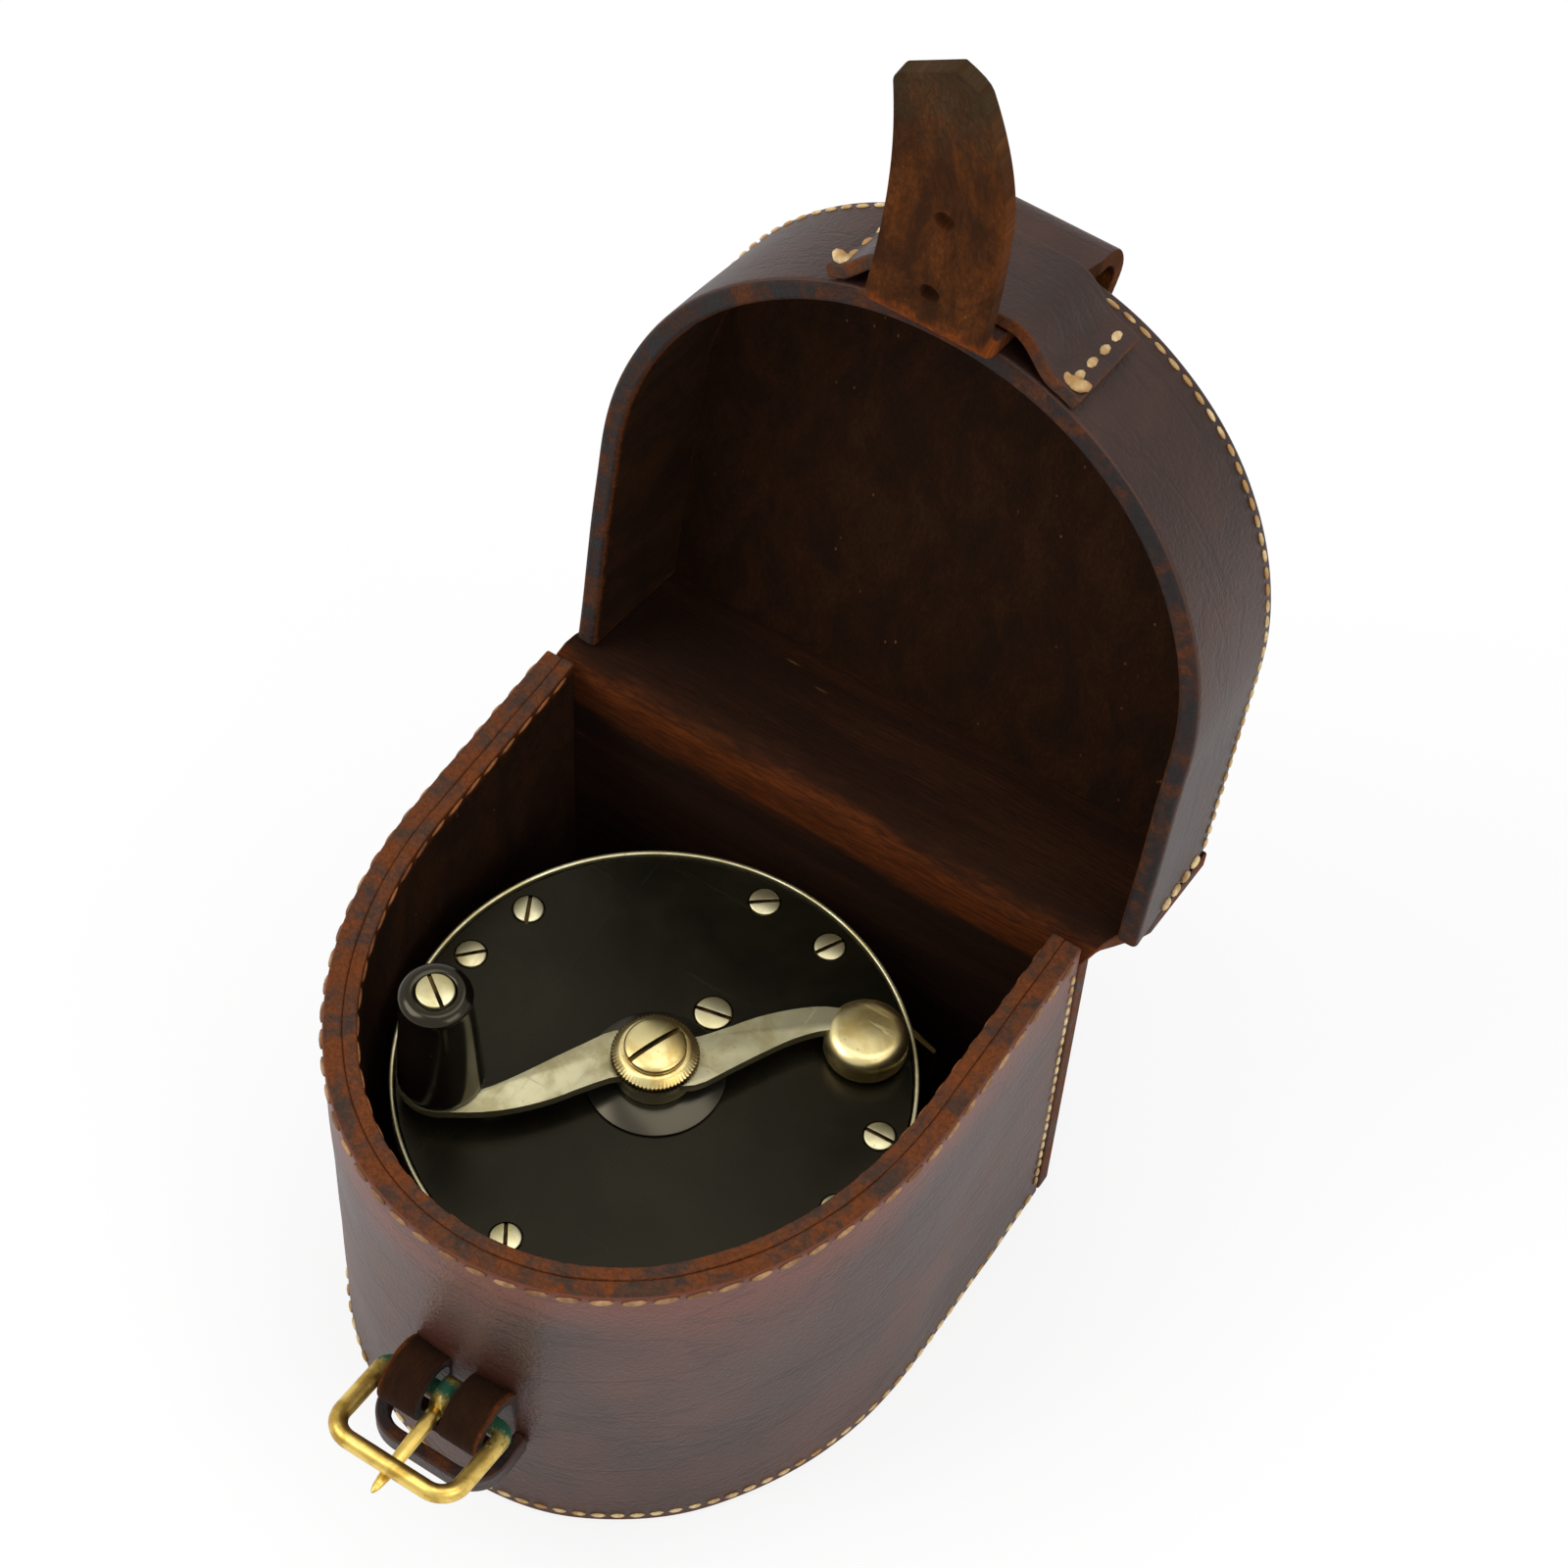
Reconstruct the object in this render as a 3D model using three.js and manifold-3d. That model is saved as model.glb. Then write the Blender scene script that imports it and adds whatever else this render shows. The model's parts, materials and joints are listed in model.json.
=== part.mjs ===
// A single-action fly reel standing in its D-shaped leather case, lid open.
// Millimetres, +Z up. X runs across the case, +Y towards the hinge.
// The origin is on the underside of the case base, below the centre of the D.
import * as THREE from 'three';
import { mergeVertices } from 'three/addons/utils/BufferGeometryUtils.js';
import Module from 'manifold-3d';

const wasm = await Module();
wasm.setup();

// Clearances and cutting overruns
const seam = 0.3;               // gap between pieces that touch
const overrun = 6;              // how far a cutting shape passes through
const weld = 0.0001;            // points closer than this are one point

// Leather thicknesses
const wallThickness = 3.3;
const liningThickness = 2.2;
const backThickness = 3.6;
const baseThickness = 4.0;
const frontPower = 2.06;         // 2 would make the front half an ellipse

// Reel plates and the body between them
const plateRadius = 44.9;       // outside of the metal rims, a little over 3 1/2 inches across
const plateThickness = 4.4;
const rimWidth = 0.8;
const rimRaise = 0.8;
const pillarLength = 44.5;
const pillarRadius = 2.3;
const pillarInset = 5.3;
const pillarAngles = [10.5, -10.5, 68, -73, 91, -92.5, 179];
const spoolRoom = 1.0;
const flangeThickness = 1.6;
const flangeRoom = 0.9;
const arborRadius = 11;
const spindleRadius = 3.0;
const bushRadius = 5.5;
const capRadius = 8.0;
const capHeight = 4.0;
const capFloor = 0.9;
const bossRadius = 12.1;
const bossHeight = 1.3;
const bossEdge = 0.25;
const bossCrown = 7.6;
const edgeLip = 0.5;

// Screws on the plates
const screwRadius = 2.7;
const screwSink = 0.9;
const screwRaise = 0.35;
const screwSlotWidth = 0.7;
const screwSlotDepth = 0.8;
const oilScrewRadius = 3.25;
const oilScrewGap = 0.35;
const oilScrewAngle = 0.2;
const screwTurns = [66.8, 43.5, 8.7, 122.1, 30, 51.5, 128];
const oilScrewTurn = 18.3;

// Reel foot, which is screwed to a bridge between two pillars
const footStand = 2.0;
const footThickness = 2.0;
const footEdge = 0.8;
const footHalfLength = 27.3;
const footHalfWidth = 8.5;
const footTipHalfWidth = 4.5;
const footSkew = 5.3;
const footBridgeHalfLength = 9.5;
const footBridgeHalfWidth = 9;
const footScrewRadius = 1.9;
const footScrewSpread = 5.5;
const footScrewHead = 0.8;

// Click: toothed wheel on the spindle, pawl, spring and button
const clickRadius = 7.0;
const clickToothDepth = 1.3;
const clickTeeth = 18;
const clickThickness = 1.3;
const clickTravel = 3.0;
const pawlHalfWidth = 2.2;
const pawlLength = 8.0;
const pawlPoint = 2.6;
const clickSpringThickness = 0.7;
const clickSpringRoom = 0.8;
const clickButtonRadius = 2.6;
const clickButtonHeight = 2.2;
const clickStemRadius = 1.1;

// Handle: S-shaped arm, collar, hub screw, knob and counterweight
const armLift = 4.2;
const armThickness = 1.9;
const armAngle = 49.15;         // from the foot to the counterweight, clockwise
const armBendShares = [-0.133, -0.143, -0.115, -0.066, -0.007, 0.038, -0.010, -0.046, 0.002, 0.060, 0.103, 0.115, 0.075];
const armWidthShares = [0.050, 0.059, 0.082, 0.102, 0.111, 0.124, 0.135, 0.127, 0.110, 0.097, 0.078, 0.064, 0.055];
const tipAside = 0.75;          // how far the knob and the weight stand off the line through the hub
const collarRadius = 7.5;
const collarTopRadius = 6.0;
const collarHeight = 2.4;
const collarBand = 1.3;
const collarTeeth = 44;
const collarToothDepth = 0.35;
const shoulderRadius = 6.9;
const hubScrewRadius = 5.3;
const hubScrewHeight = 1.8;
const hubSlotWidth = 1.0;
const hubSlotDepth = 1.2;
const knobBaseRadius = 7.45;
const knobTopRadius = 6.2;
const knobNeckShare = 0.965;    // the slight neck below the knob's rounded top
const knobTopEdge = 1.3;
const knobHeight = 26.3;
const knobInset = 1.45;
const knobOverhang = 0.15;
const hubSlotTurn = 118.5;
const knobSlotTurn = 14.2;
const knobPinRadius = 2.2;
const knobPinHeadRadius = 3.25;
const knobPinHeadHeight = 1.2;
const knobPinSink = 0.7;
const weightRadius = 7.25;
const weightEyeRadius = 3.1;
const weightDrop = 3.4;
const weightRise = 0.9;
const weightShoulder = 2.7;
const weightEdge = 0.5;
const weightCrown = 0.35;
const weightOutset = 0.2;

// Room for the reel inside the case
const reelAside = 1.9;
const reelForward = 10.7;
const reelSideRoom = 3.8;
const reelFrontRoom = 5.5;
const footWallRoom = 0.478;
const rimAboveReel = 22.2;

// Lid, a little spread and crept sideways with age
const lidWallThickness = 3.8;
const lidPanelThickness = 3.5;
const lidBackThickness = 4.0;
const lidSpread = 2.4;
const lidBlunter = 4.2;
const lidFrontOverhang = 2.5;
const lidBackOverhang = 0.6;
const lidCreep = 5.4;
const lidRimGap = 0.5;
const lidDraftShare = 0.023;      // how much narrower the lid is at its panel
const lidDraftFrontShare = 0.036;
const lidKnobRoom = 14.9;
const lidOpen = 98.7;
const hingeDrop = 1.25;
const hingeFree = 5.0;
const hingeHandle = 3.4;

// Closing strap and the wide loop it passes under on the lid
const strapWidth = 20.6;
const strapThickness = 3.0;
const strapRoot = 40;
const strapBulge = 4.0;
const strapBulgeStart = 15;
const foldRadius = 5.0;
const foldDrop = 1.2;
const strapTail = 51.5;
const strapTaper = 1.2;
const strapTipRadius = 7.5;
const strapHoleRadius = 1.7;
const strapHoles = [5.2, 21.7];
const loopHalfLength = 22;
const loopAside = 1.3;
const loopWidth = 20.4;
const loopThickness = 2.4;
const loopRimGap = 0.4;
const loopRamp = 8.0;

// Buckle, its folded leather chape and the keeper loop below
const buckleAside = 1.5;
const buckleDrop = 43.5;
const buckleStand = 4.3;
const buckleTilt = 11.5;
const buckleReach = 17.0;
const buckleHalfWidth = 12.05;
const buckleCorner = 4.2;
const wireRadius = 1.65;
const chapeWidth = 20.2;
const chapeLeather = 2.1;
const chapeLength = 11;
const chapeFoot = 4.7;
const chapeTuck = 72;            // degrees past level to which the fold reaches under the bar
const prongWidth = 3.0;
const prongThickness = 2.0;
const prongLength = 20.8;
const prongEye = 1.35;
const keeperAside = 0.6;
const keeperHalfWidth = 12.9;
const keeperStand = 11.5;
const keeperWidth = 4.6;
const keeperThickness = 2.6;
const keeperGap = 1.0;
const keeperCorner = 7.0;

// Facet counts
const wallSteps = 44;
const roundSides = 48;
const smallSides = 20;
const bandSteps = 12;
const wireSides = 10;
const cornerSteps = 5;

// Sizes that follow from the ones above
const toRadians = Math.PI / 180;
const wallTotal = wallThickness + seam + liningThickness;
const caseHalfWidth = plateRadius + reelSideRoom + wallTotal;
const caseFrontDepth = plateRadius + reelForward + reelFrontRoom + wallTotal;
const footReach = plateRadius + footStand;
const footBackReach = footReach * Math.cos(footSkew * toRadians) + footHalfLength * Math.sin(footSkew * toRadians);
const caseBackDepth = footBackReach - reelForward + footWallRoom + backThickness;
const wallEndY = caseBackDepth - backThickness - seam;

const tailLow = capHeight + seam;
const tailTop = tailLow + plateThickness;
const pillarLow = tailTop + seam;
const pillarTop = pillarLow + pillarLength;
const faceLow = pillarTop + seam;
const faceTop = faceLow + plateThickness;
const reelRimTop = faceTop + rimRaise;
const reelFloor = baseThickness + seam;
const caseHeight = reelFloor + reelRimTop + rimAboveReel;

const pillarOrbit = plateRadius - pillarInset;
const flangeRadius = pillarOrbit - pillarRadius - spoolRoom;
const boreRadius = spindleRadius + seam;
const bossTop = faceTop + seam + bossHeight;
const armLow = faceTop + armLift;
const armTop = armLow + armThickness;
const collarLow = armTop + seam;
const collarTop = collarLow + collarHeight;
const hubScrewLow = collarTop + seam;
const knobOrbit = plateRadius - knobBaseRadius - knobInset;
const weightOrbit = knobOrbit + weightOutset;
const knobLow = armTop + seam;
const knobTop = knobLow + knobHeight;

const lidHalfWidth = caseHalfWidth + lidSpread;
const lidFrontDepth = caseFrontDepth - lidBlunter;
const lidCentreY = lidFrontDepth - caseFrontDepth - lidFrontOverhang;
const lidStraight = caseBackDepth + lidBackOverhang - lidCentreY;
const lidRimZ = caseHeight + lidRimGap;
const lidHeight = reelFloor + knobTop + lidKnobRoom + lidPanelThickness - lidRimZ;
const hingeY = caseBackDepth - backThickness / 2;
const hingeZ = caseHeight - hingeDrop;
const strapPlane = lidFrontDepth + seam + strapThickness / 2;
const buckleY = -caseFrontDepth - buckleStand;
const buckleZ = caseHeight - buckleDrop;

// Materials
function material(name, colour, roughness, metalness) {
  return new THREE.MeshStandardMaterial({ name, color: colour, roughness, metalness });
}
const darkLeather = material('dark leather', 0x3f241d, 0.55, 0);
const innerLeather = material('inner leather', 0x2b1810, 0.9, 0);
const wornLeather = material('worn leather', 0x7a4522, 0.9, 0);
const fleshLeather = material('flesh side leather', 0x5a3318, 0.95, 0);
const ebonite = material('hard rubber', 0x23211c, 0.3, 0);
const nickelSilver = material('nickel silver', 0xb8ae84, 0.3, 1);
const brass = material('brass', 0xb08a35, 0.35, 1);
const springSteel = material('spring steel', 0x77777a, 0.35, 1);

// Mesh helpers
function signedVolume(geometry) {
  const place = geometry.attributes.position;
  const index = geometry.index.array;
  const [a, b, c] = [new THREE.Vector3(), new THREE.Vector3(), new THREE.Vector3()];
  let sum = 0;
  for (let i = 0; i < index.length; i += 3) {
    a.fromBufferAttribute(place, index[i]);
    b.fromBufferAttribute(place, index[i + 1]);
    c.fromBufferAttribute(place, index[i + 2]);
    sum += a.dot(b.cross(c));
  }
  return sum / 6;
}

// Welds the points, drops triangles without area and turns the faces outwards.
function welded(geometry) {
  const bare = geometry.clone();
  bare.deleteAttribute('normal');
  bare.deleteAttribute('uv');
  const merged = mergeVertices(bare, weld);
  const kept = [];
  const index = merged.index.array;
  for (let i = 0; i < index.length; i += 3) {
    const [a, b, c] = [index[i], index[i + 1], index[i + 2]];
    if (a !== b && b !== c && c !== a) kept.push(a, b, c);
  }
  merged.setIndex(kept);
  if (signedVolume(merged) < 0) {
    for (let i = 0; i < kept.length; i += 3) {
      const first = kept[i];
      kept[i] = kept[i + 1];
      kept[i + 1] = first;
    }
    merged.setIndex(kept);
  }
  return merged;
}

function toSolid(geometry) {
  const body = welded(geometry);
  return new wasm.Manifold(new wasm.Mesh({
    numProp: 3,
    vertProperties: new Float32Array(body.attributes.position.array),
    triVerts: new Uint32Array(body.index.array),
  }));
}

function fromSolid(solid) {
  const mesh = solid.getMesh();
  const geometry = new THREE.BufferGeometry();
  geometry.setAttribute('position', new THREE.BufferAttribute(new Float32Array(mesh.vertProperties), 3));
  geometry.setIndex(Array.from(mesh.triVerts));
  return geometry;
}

function cut(geometry, ...cutters) {
  let solid = toSolid(geometry);
  for (const cutter of cutters) solid = solid.subtract(toSolid(cutter));
  return fromSolid(solid);
}

function joined(geometry, ...others) {
  let solid = toSolid(geometry);
  for (const other of others) solid = solid.add(toSolid(other));
  return fromSolid(solid);
}

function common(geometry, other) {
  return fromSolid(toSolid(geometry).intersect(toSolid(other)));
}

function addPiece(group, name, geometry, look) {
  const body = welded(geometry);
  body.computeVertexNormals();
  const mesh = new THREE.Mesh(body, look);
  mesh.name = name;
  group.add(mesh);
  return mesh;
}

// Shape helpers
function plan(points) {
  return new THREE.Shape(points.map(([x, y]) => new THREE.Vector2(x, y)));
}

function raised(shape, low, high) {
  const options = { depth: high - low, bevelEnabled: false, curveSegments: smallSides };
  return new THREE.ExtrudeGeometry(shape, options).translate(0, 0, low);
}

// A profile drawn in Y and Z, drawn out along X on both sides of the centre.
function across(shape, width) {
  const options = { depth: width, bevelEnabled: false, curveSegments: smallSides };
  const turn = new THREE.Matrix4().set(0, 0, 1, -width / 2, 1, 0, 0, 0, 0, 1, 0, 0, 0, 0, 0, 1);
  return new THREE.ExtrudeGeometry(shape, options).applyMatrix4(turn);
}

function block(x0, x1, y0, y1, z0, z1) {
  return new THREE.BoxGeometry(x1 - x0, y1 - y0, z1 - z0)
    .translate((x0 + x1) / 2, (y0 + y1) / 2, (z0 + z1) / 2);
}

function disc(radius, low, high, sides = roundSides) {
  return new THREE.CylinderGeometry(radius, radius, high - low, sides)
    .rotateX(Math.PI / 2)
    .translate(0, 0, (low + high) / 2);
}

function turned(profile, sides = roundSides) {
  const points = profile.map(([radius, height]) => new THREE.Vector2(radius, height));
  return new THREE.LatheGeometry(points, sides).rotateX(Math.PI / 2);
}

function tube(outer, inner, low, high, sides = roundSides) {
  return turned([[inner, low], [outer, low], [outer, high], [inner, high], [inner, low]], sides);
}

// The outer line of a D: straight sides and a front a little fuller than half an ellipse.
function dLine(halfWidth, frontDepth, backY) {
  const line = [[halfWidth, backY]];
  for (let i = 0; i <= wallSteps; i += 1) {
    const turn = (i / wallSteps) * Math.PI;
    const [aside, ahead] = [Math.cos(turn), Math.sin(turn)];
    line.push([
      halfWidth * Math.sign(aside) * Math.abs(aside) ** (2 / frontPower),
      -frontDepth * Math.abs(ahead) ** (2 / frontPower),
    ]);
  }
  line.push([-halfWidth, backY]);
  return line;
}

// How far the front of a D lies ahead of its centre at a place x.
function dFront(halfWidth, frontDepth, x) {
  return frontDepth * (1 - Math.abs(x / halfWidth) ** frontPower) ** (1 / frontPower);
}

function dPlate(halfWidth, frontDepth, backY, low, high) {
  return raised(plan(dLine(halfWidth, frontDepth, backY)), low, high);
}

function dWall(halfWidth, frontDepth, backY, thickness, low, high) {
  const outside = dLine(halfWidth, frontDepth, backY);
  const inside = dLine(halfWidth - thickness, frontDepth - thickness, backY);
  return raised(plan([...outside, ...inside.reverse()]), low, high);
}

// A strip of even thickness that follows a curve drawn in Y and Z.
function strip(curve, thickness, steps = bandSteps) {
  const left = [];
  const right = [];
  for (let i = 0; i <= steps; i += 1) {
    const at = curve.getPoint(i / steps);
    const along = curve.getTangent(i / steps);
    left.push([at.x - along.y * thickness / 2, at.y + along.x * thickness / 2]);
    right.push([at.x + along.y * thickness / 2, at.y - along.x * thickness / 2]);
  }
  return plan([...left, ...right.reverse()]);
}

// Part of a turn of even thickness in Y and Z, about a centre.
function arcStrip(centreY, centreZ, radius, thickness, from, to, steps = bandSteps) {
  const inner = [];
  const outer = [];
  for (let i = 0; i <= steps; i += 1) {
    const turn = from + (to - from) * (i / steps);
    const [side, rise] = [Math.cos(turn), Math.sin(turn)];
    inner.push([centreY + side * (radius - thickness / 2), centreZ + rise * (radius - thickness / 2)]);
    outer.push([centreY + side * (radius + thickness / 2), centreZ + rise * (radius + thickness / 2)]);
  }
  return plan([...inner, ...outer.reverse()]);
}

function roundedRectangle(x0, x1, y0, y1, radius) {
  const line = [];
  const corners = [[x1 - radius, y1 - radius, 0], [x0 + radius, y1 - radius, 1],
    [x0 + radius, y0 + radius, 2], [x1 - radius, y0 + radius, 3]];
  for (const [x, y, quarter] of corners) {
    for (let i = 0; i <= cornerSteps; i += 1) {
      const turn = (quarter + i / cornerSteps) * Math.PI / 2;
      line.push([x + radius * Math.cos(turn), y + radius * Math.sin(turn)]);
    }
  }
  return line;
}

// Round wire bent to a closed flat line in X and Y.
function wireRing(line, radius) {
  const count = line.length;
  const points = [];
  const faces = [];
  for (let i = 0; i < count; i += 1) {
    const before = line[(i + count - 1) % count];
    const after = line[(i + 1) % count];
    const length = Math.hypot(after[0] - before[0], after[1] - before[1]);
    const out = [(after[1] - before[1]) / length, -(after[0] - before[0]) / length];
    for (let j = 0; j < wireSides; j += 1) {
      const turn = (j / wireSides) * Math.PI * 2;
      const reach = radius * Math.cos(turn);
      points.push(line[i][0] + out[0] * reach, line[i][1] + out[1] * reach, radius * Math.sin(turn));
      const [a, b] = [i * wireSides + j, i * wireSides + (j + 1) % wireSides];
      const [c, d] = [((i + 1) % count) * wireSides + j, ((i + 1) % count) * wireSides + (j + 1) % wireSides];
      faces.push(a, b, d, a, d, c);
    }
  }
  const geometry = new THREE.BufferGeometry();
  geometry.setAttribute('position', new THREE.BufferAttribute(new Float32Array(points), 3));
  geometry.setIndex(faces);
  return geometry;
}

// A toothed edge: two points a tooth, on the outer and on the inner radius.
function toothedLine(radius, depth, teeth) {
  const line = [];
  for (let i = 0; i < teeth * 2; i += 1) {
    const reach = i % 2 ? radius - depth : radius;
    const turn = (i / teeth) * Math.PI;
    line.push([reach * Math.cos(turn), reach * Math.sin(turn)]);
  }
  return line;
}

// A round screw head with a straight slot, its underside at low.
function screwHead(radius, low, high, slotWidth, slotDepth, slotTurn) {
  const head = disc(radius, low, high, smallSides);
  const slot = block(-radius * 2, radius * 2, -slotWidth / 2, slotWidth / 2, high - slotDepth, high + overrun)
    .rotateZ(slotTurn);
  return cut(head, slot);
}

// Places on a plate are given by an orbit and an angle from the foot.
function onPlate(orbit, angle) {
  return [orbit * Math.sin(angle * toRadians), orbit * Math.cos(angle * toRadians)];
}

// Leather case
function makeCase(group) {
  addPiece(group, 'case_wall', dWall(caseHalfWidth, caseFrontDepth, wallEndY, wallThickness, 0, caseHeight), darkLeather);

  const inset = wallThickness + seam;
  const lining = dWall(caseHalfWidth - inset, caseFrontDepth - inset, wallEndY, liningThickness, reelFloor, caseHeight);
  addPiece(group, 'rim_lining', lining, innerLeather);

  const base = dPlate(caseHalfWidth - inset, caseFrontDepth - inset, wallEndY, 0, baseThickness);
  addPiece(group, 'case_base', base, darkLeather);

  const back = block(-caseHalfWidth, caseHalfWidth, caseBackDepth - backThickness, caseBackDepth, 0, hingeZ - hingeFree);
  addPiece(group, 'case_back_wall', back, darkLeather);
}

// The leather of the back wall runs on into the lid and bends here.
function makeHingeStrip(group) {
  const open = lidOpen * toRadians;
  const along = [Math.sin(open), Math.cos(open)];
  const outward = [Math.cos(open), -Math.sin(open)];
  const shift = lidBackOverhang + backThickness / 2 - lidBackThickness / 2;
  const start = new THREE.Vector2(hingeY, hingeZ - hingeFree + seam);
  const end = new THREE.Vector2(
    hingeY + along[0] * (hingeFree - seam) + outward[0] * shift,
    hingeZ + along[1] * (hingeFree - seam) + outward[1] * shift,
  );
  const curve = new THREE.CubicBezierCurve(
    start,
    new THREE.Vector2(start.x, start.y + hingeHandle),
    new THREE.Vector2(end.x - along[0] * hingeHandle, end.y - along[1] * hingeHandle),
    end,
  );
  addPiece(group, 'hinge_strip', across(strip(curve, backThickness), caseHalfWidth * 2), wornLeather);
}

// The lid narrows a little from its rim to its panel, and what is sewn to it follows.
function drafted(geometry) {
  const body = welded(geometry);
  const place = body.attributes.position;
  for (let i = 0; i < place.count; i += 1) {
    const share = place.getZ(i) / lidHeight;
    place.setX(i, place.getX(i) * (1 - lidDraftShare * share));
    if (place.getY(i) < 0) place.setY(i, place.getY(i) * (1 - lidDraftFrontShare * share));
  }
  return body;
}

// Lid, drawn closed: its own origin is at the centre of the D in the rim plane.
function makeLid(group) {
  const backInside = lidStraight - lidBackThickness;
  const wallEnd = backInside - seam;
  const wall = dWall(lidHalfWidth, lidFrontDepth, wallEnd, lidWallThickness, 0, lidHeight);
  addPiece(group, 'lid_wall', drafted(wall), darkLeather);

  const inset = lidWallThickness + seam;
  const panel = dPlate(lidHalfWidth - inset, lidFrontDepth - inset, wallEnd, lidHeight - lidPanelThickness, lidHeight);
  addPiece(group, 'lid_panel', drafted(panel), darkLeather);

  const backLow = hingeZ + hingeFree - lidRimZ;
  const back = block(-lidHalfWidth, lidHalfWidth, backInside, lidStraight, backLow, lidHeight);
  addPiece(group, 'lid_back_wall', drafted(back), darkLeather);
}

// The loop hugs the lid's front at its sewn ends and rises over the strap.
function makeBridgeLoop(group) {
  const rise = strapThickness + seam;
  const flat = strapWidth / 2 + seam;
  const inner = [];
  const outer = [];
  for (let i = -bandSteps; i <= bandSteps; i += 1) {
    const x = loopAside + loopHalfLength * i / bandSteps;
    const wallY = dFront(lidHalfWidth, lidFrontDepth, x);
    const share = THREE.MathUtils.smoothstep(flat + loopRamp - Math.abs(x), 0, loopRamp);
    const overStrap = (lidFrontDepth + seam + rise) * share;
    const y = Math.max(wallY + seam, overStrap + (wallY + seam) * (1 - share));
    inner.push([x, -y]);
    outer.push([x, -y - loopThickness]);
  }
  const loop = raised(plan([...inner, ...outer.reverse()]), loopRimGap, loopRimGap + loopWidth);
  addPiece(group, 'bridge_loop', drafted(loop), darkLeather);
}

function makeStrapBase(group) {
  const panelZ = lidHeight + seam + strapThickness / 2;
  const frontY = -lidFrontDepth;
  const curve = new THREE.SplineCurve([
    new THREE.Vector2(frontY + strapRoot, panelZ),
    new THREE.Vector2(frontY + (strapRoot + strapBulgeStart) / 2, panelZ),
    new THREE.Vector2(frontY + strapBulgeStart, panelZ),
    new THREE.Vector2(frontY + strapBulgeStart * 0.55, panelZ + strapBulge * 0.6),
    new THREE.Vector2(frontY + strapBulge * 0.6, panelZ + strapBulge * 1.1),
    new THREE.Vector2(-strapPlane - strapBulge * 0.1, panelZ + strapBulge * 0.1),
    new THREE.Vector2(-strapPlane, loopRimGap + loopWidth),
    new THREE.Vector2(-strapPlane, (loopRimGap + loopWidth) / 2),
    new THREE.Vector2(-strapPlane, seam - foldDrop),
  ]);
  addPiece(group, 'strap_base', drafted(across(strip(curve, strapThickness, bandSteps * 3), strapWidth)), darkLeather);
}

// The strap is bent up where it leaves the lid: the fold turns about the same
// line as the tail, so the tail can swing down over the buckle.
function makeStrapFold(group) {
  const bend = (180 - lidOpen) * toRadians;
  const play = seam / foldRadius;
  const fold = arcStrip(0, 0, foldRadius, strapThickness, -play, play - bend);
  addPiece(group, 'strap_fold', across(fold, strapWidth), wornLeather);
}

function makeStrapTail(group) {
  const half = strapWidth / 2;
  const tipHalf = half - strapTaper;
  const line = [[-half, 0], [half, 0], [tipHalf, strapTail - strapTipRadius * 2]];
  for (let i = 1; i < bandSteps; i += 1) {
    const turn = (i / bandSteps) * Math.PI;
    line.push([tipHalf * Math.cos(turn), strapTail - strapTipRadius * 2 + strapTipRadius * 2 * Math.sin(turn)]);
  }
  line.push([-tipHalf, strapTail - strapTipRadius * 2]);
  const shape = plan(line);
  for (const height of strapHoles) {
    const hole = new THREE.Path();
    hole.absarc(0, height, strapHoleRadius, 0, Math.PI * 2, true);
    shape.holes.push(hole);
  }
  const tail = raised(shape, -strapThickness / 2, strapThickness / 2).rotateX(Math.PI / 2);
  addPiece(group, 'strap_tail', tail.translate(0, -foldRadius, 0), fleshLeather);
}

// Everything that is sewn to the front is cut to the curve of the wall.
function caseSolid() {
  return dPlate(caseHalfWidth + seam, caseFrontDepth + seam, wallEndY, -overrun, caseHeight + overrun);
}

// Doubled leather around the buckle's bar, slit for the prong.
function makeChape(group) {
  const nose = wireRadius + seam + chapeLeather;
  const footY = -caseFrontDepth - chapeFoot;
  const line = [[-caseFrontDepth + overrun, buckleZ - chapeLength], [footY, buckleZ - chapeLength],
    [footY, buckleZ - nose * 1.15]];
  for (let i = 0; i <= bandSteps; i += 1) {
    const turn = Math.PI + chapeTuck * toRadians - (i / bandSteps) * (chapeTuck + 90) * toRadians;
    line.push([buckleY + nose * Math.cos(turn), buckleZ + nose * Math.sin(turn)]);
  }
  line.push([-caseFrontDepth, buckleZ + wireRadius + seam]);
  line.push([-caseFrontDepth + overrun, buckleZ + wireRadius + seam]);
  const body = across(plan(line), chapeWidth);
  const bore = disc(wireRadius + seam * 1.5, -chapeWidth, chapeWidth, smallSides)
    .rotateY(Math.PI / 2)
    .translate(0, buckleY, buckleZ);
  const slitHalf = prongWidth / 2 + seam * 2;
  const slit = block(-slitHalf, slitHalf, buckleY - nose - overrun, -caseFrontDepth + overrun * 2,
    buckleZ - chapeLength * 0.8, buckleZ + nose + overrun);
  const placed = cut(body, bore, slit).translate(buckleAside, 0, 0);
  addPiece(group, 'buckle_chape', cut(placed, caseSolid()), darkLeather);
}

function makeKeeper(group) {
  const front = -caseFrontDepth - keeperStand;
  const behind = -caseFrontDepth + overrun;
  const top = buckleZ - chapeLength - keeperGap;
  const inset = keeperThickness;
  const outer = roundedRectangle(-keeperHalfWidth, keeperHalfWidth, front, behind, keeperCorner);
  const inner = roundedRectangle(inset - keeperHalfWidth, keeperHalfWidth - inset, front + inset,
    behind + overrun, keeperCorner - inset);
  const body = raised(plan(outer), top - keeperWidth, top);
  const hollow = raised(plan(inner), top - keeperWidth - overrun, top + overrun);
  const placed = cut(body, hollow).translate(keeperAside, 0, 0);
  addPiece(group, 'buckle_keeper', cut(placed, caseSolid()), darkLeather);
}

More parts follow.
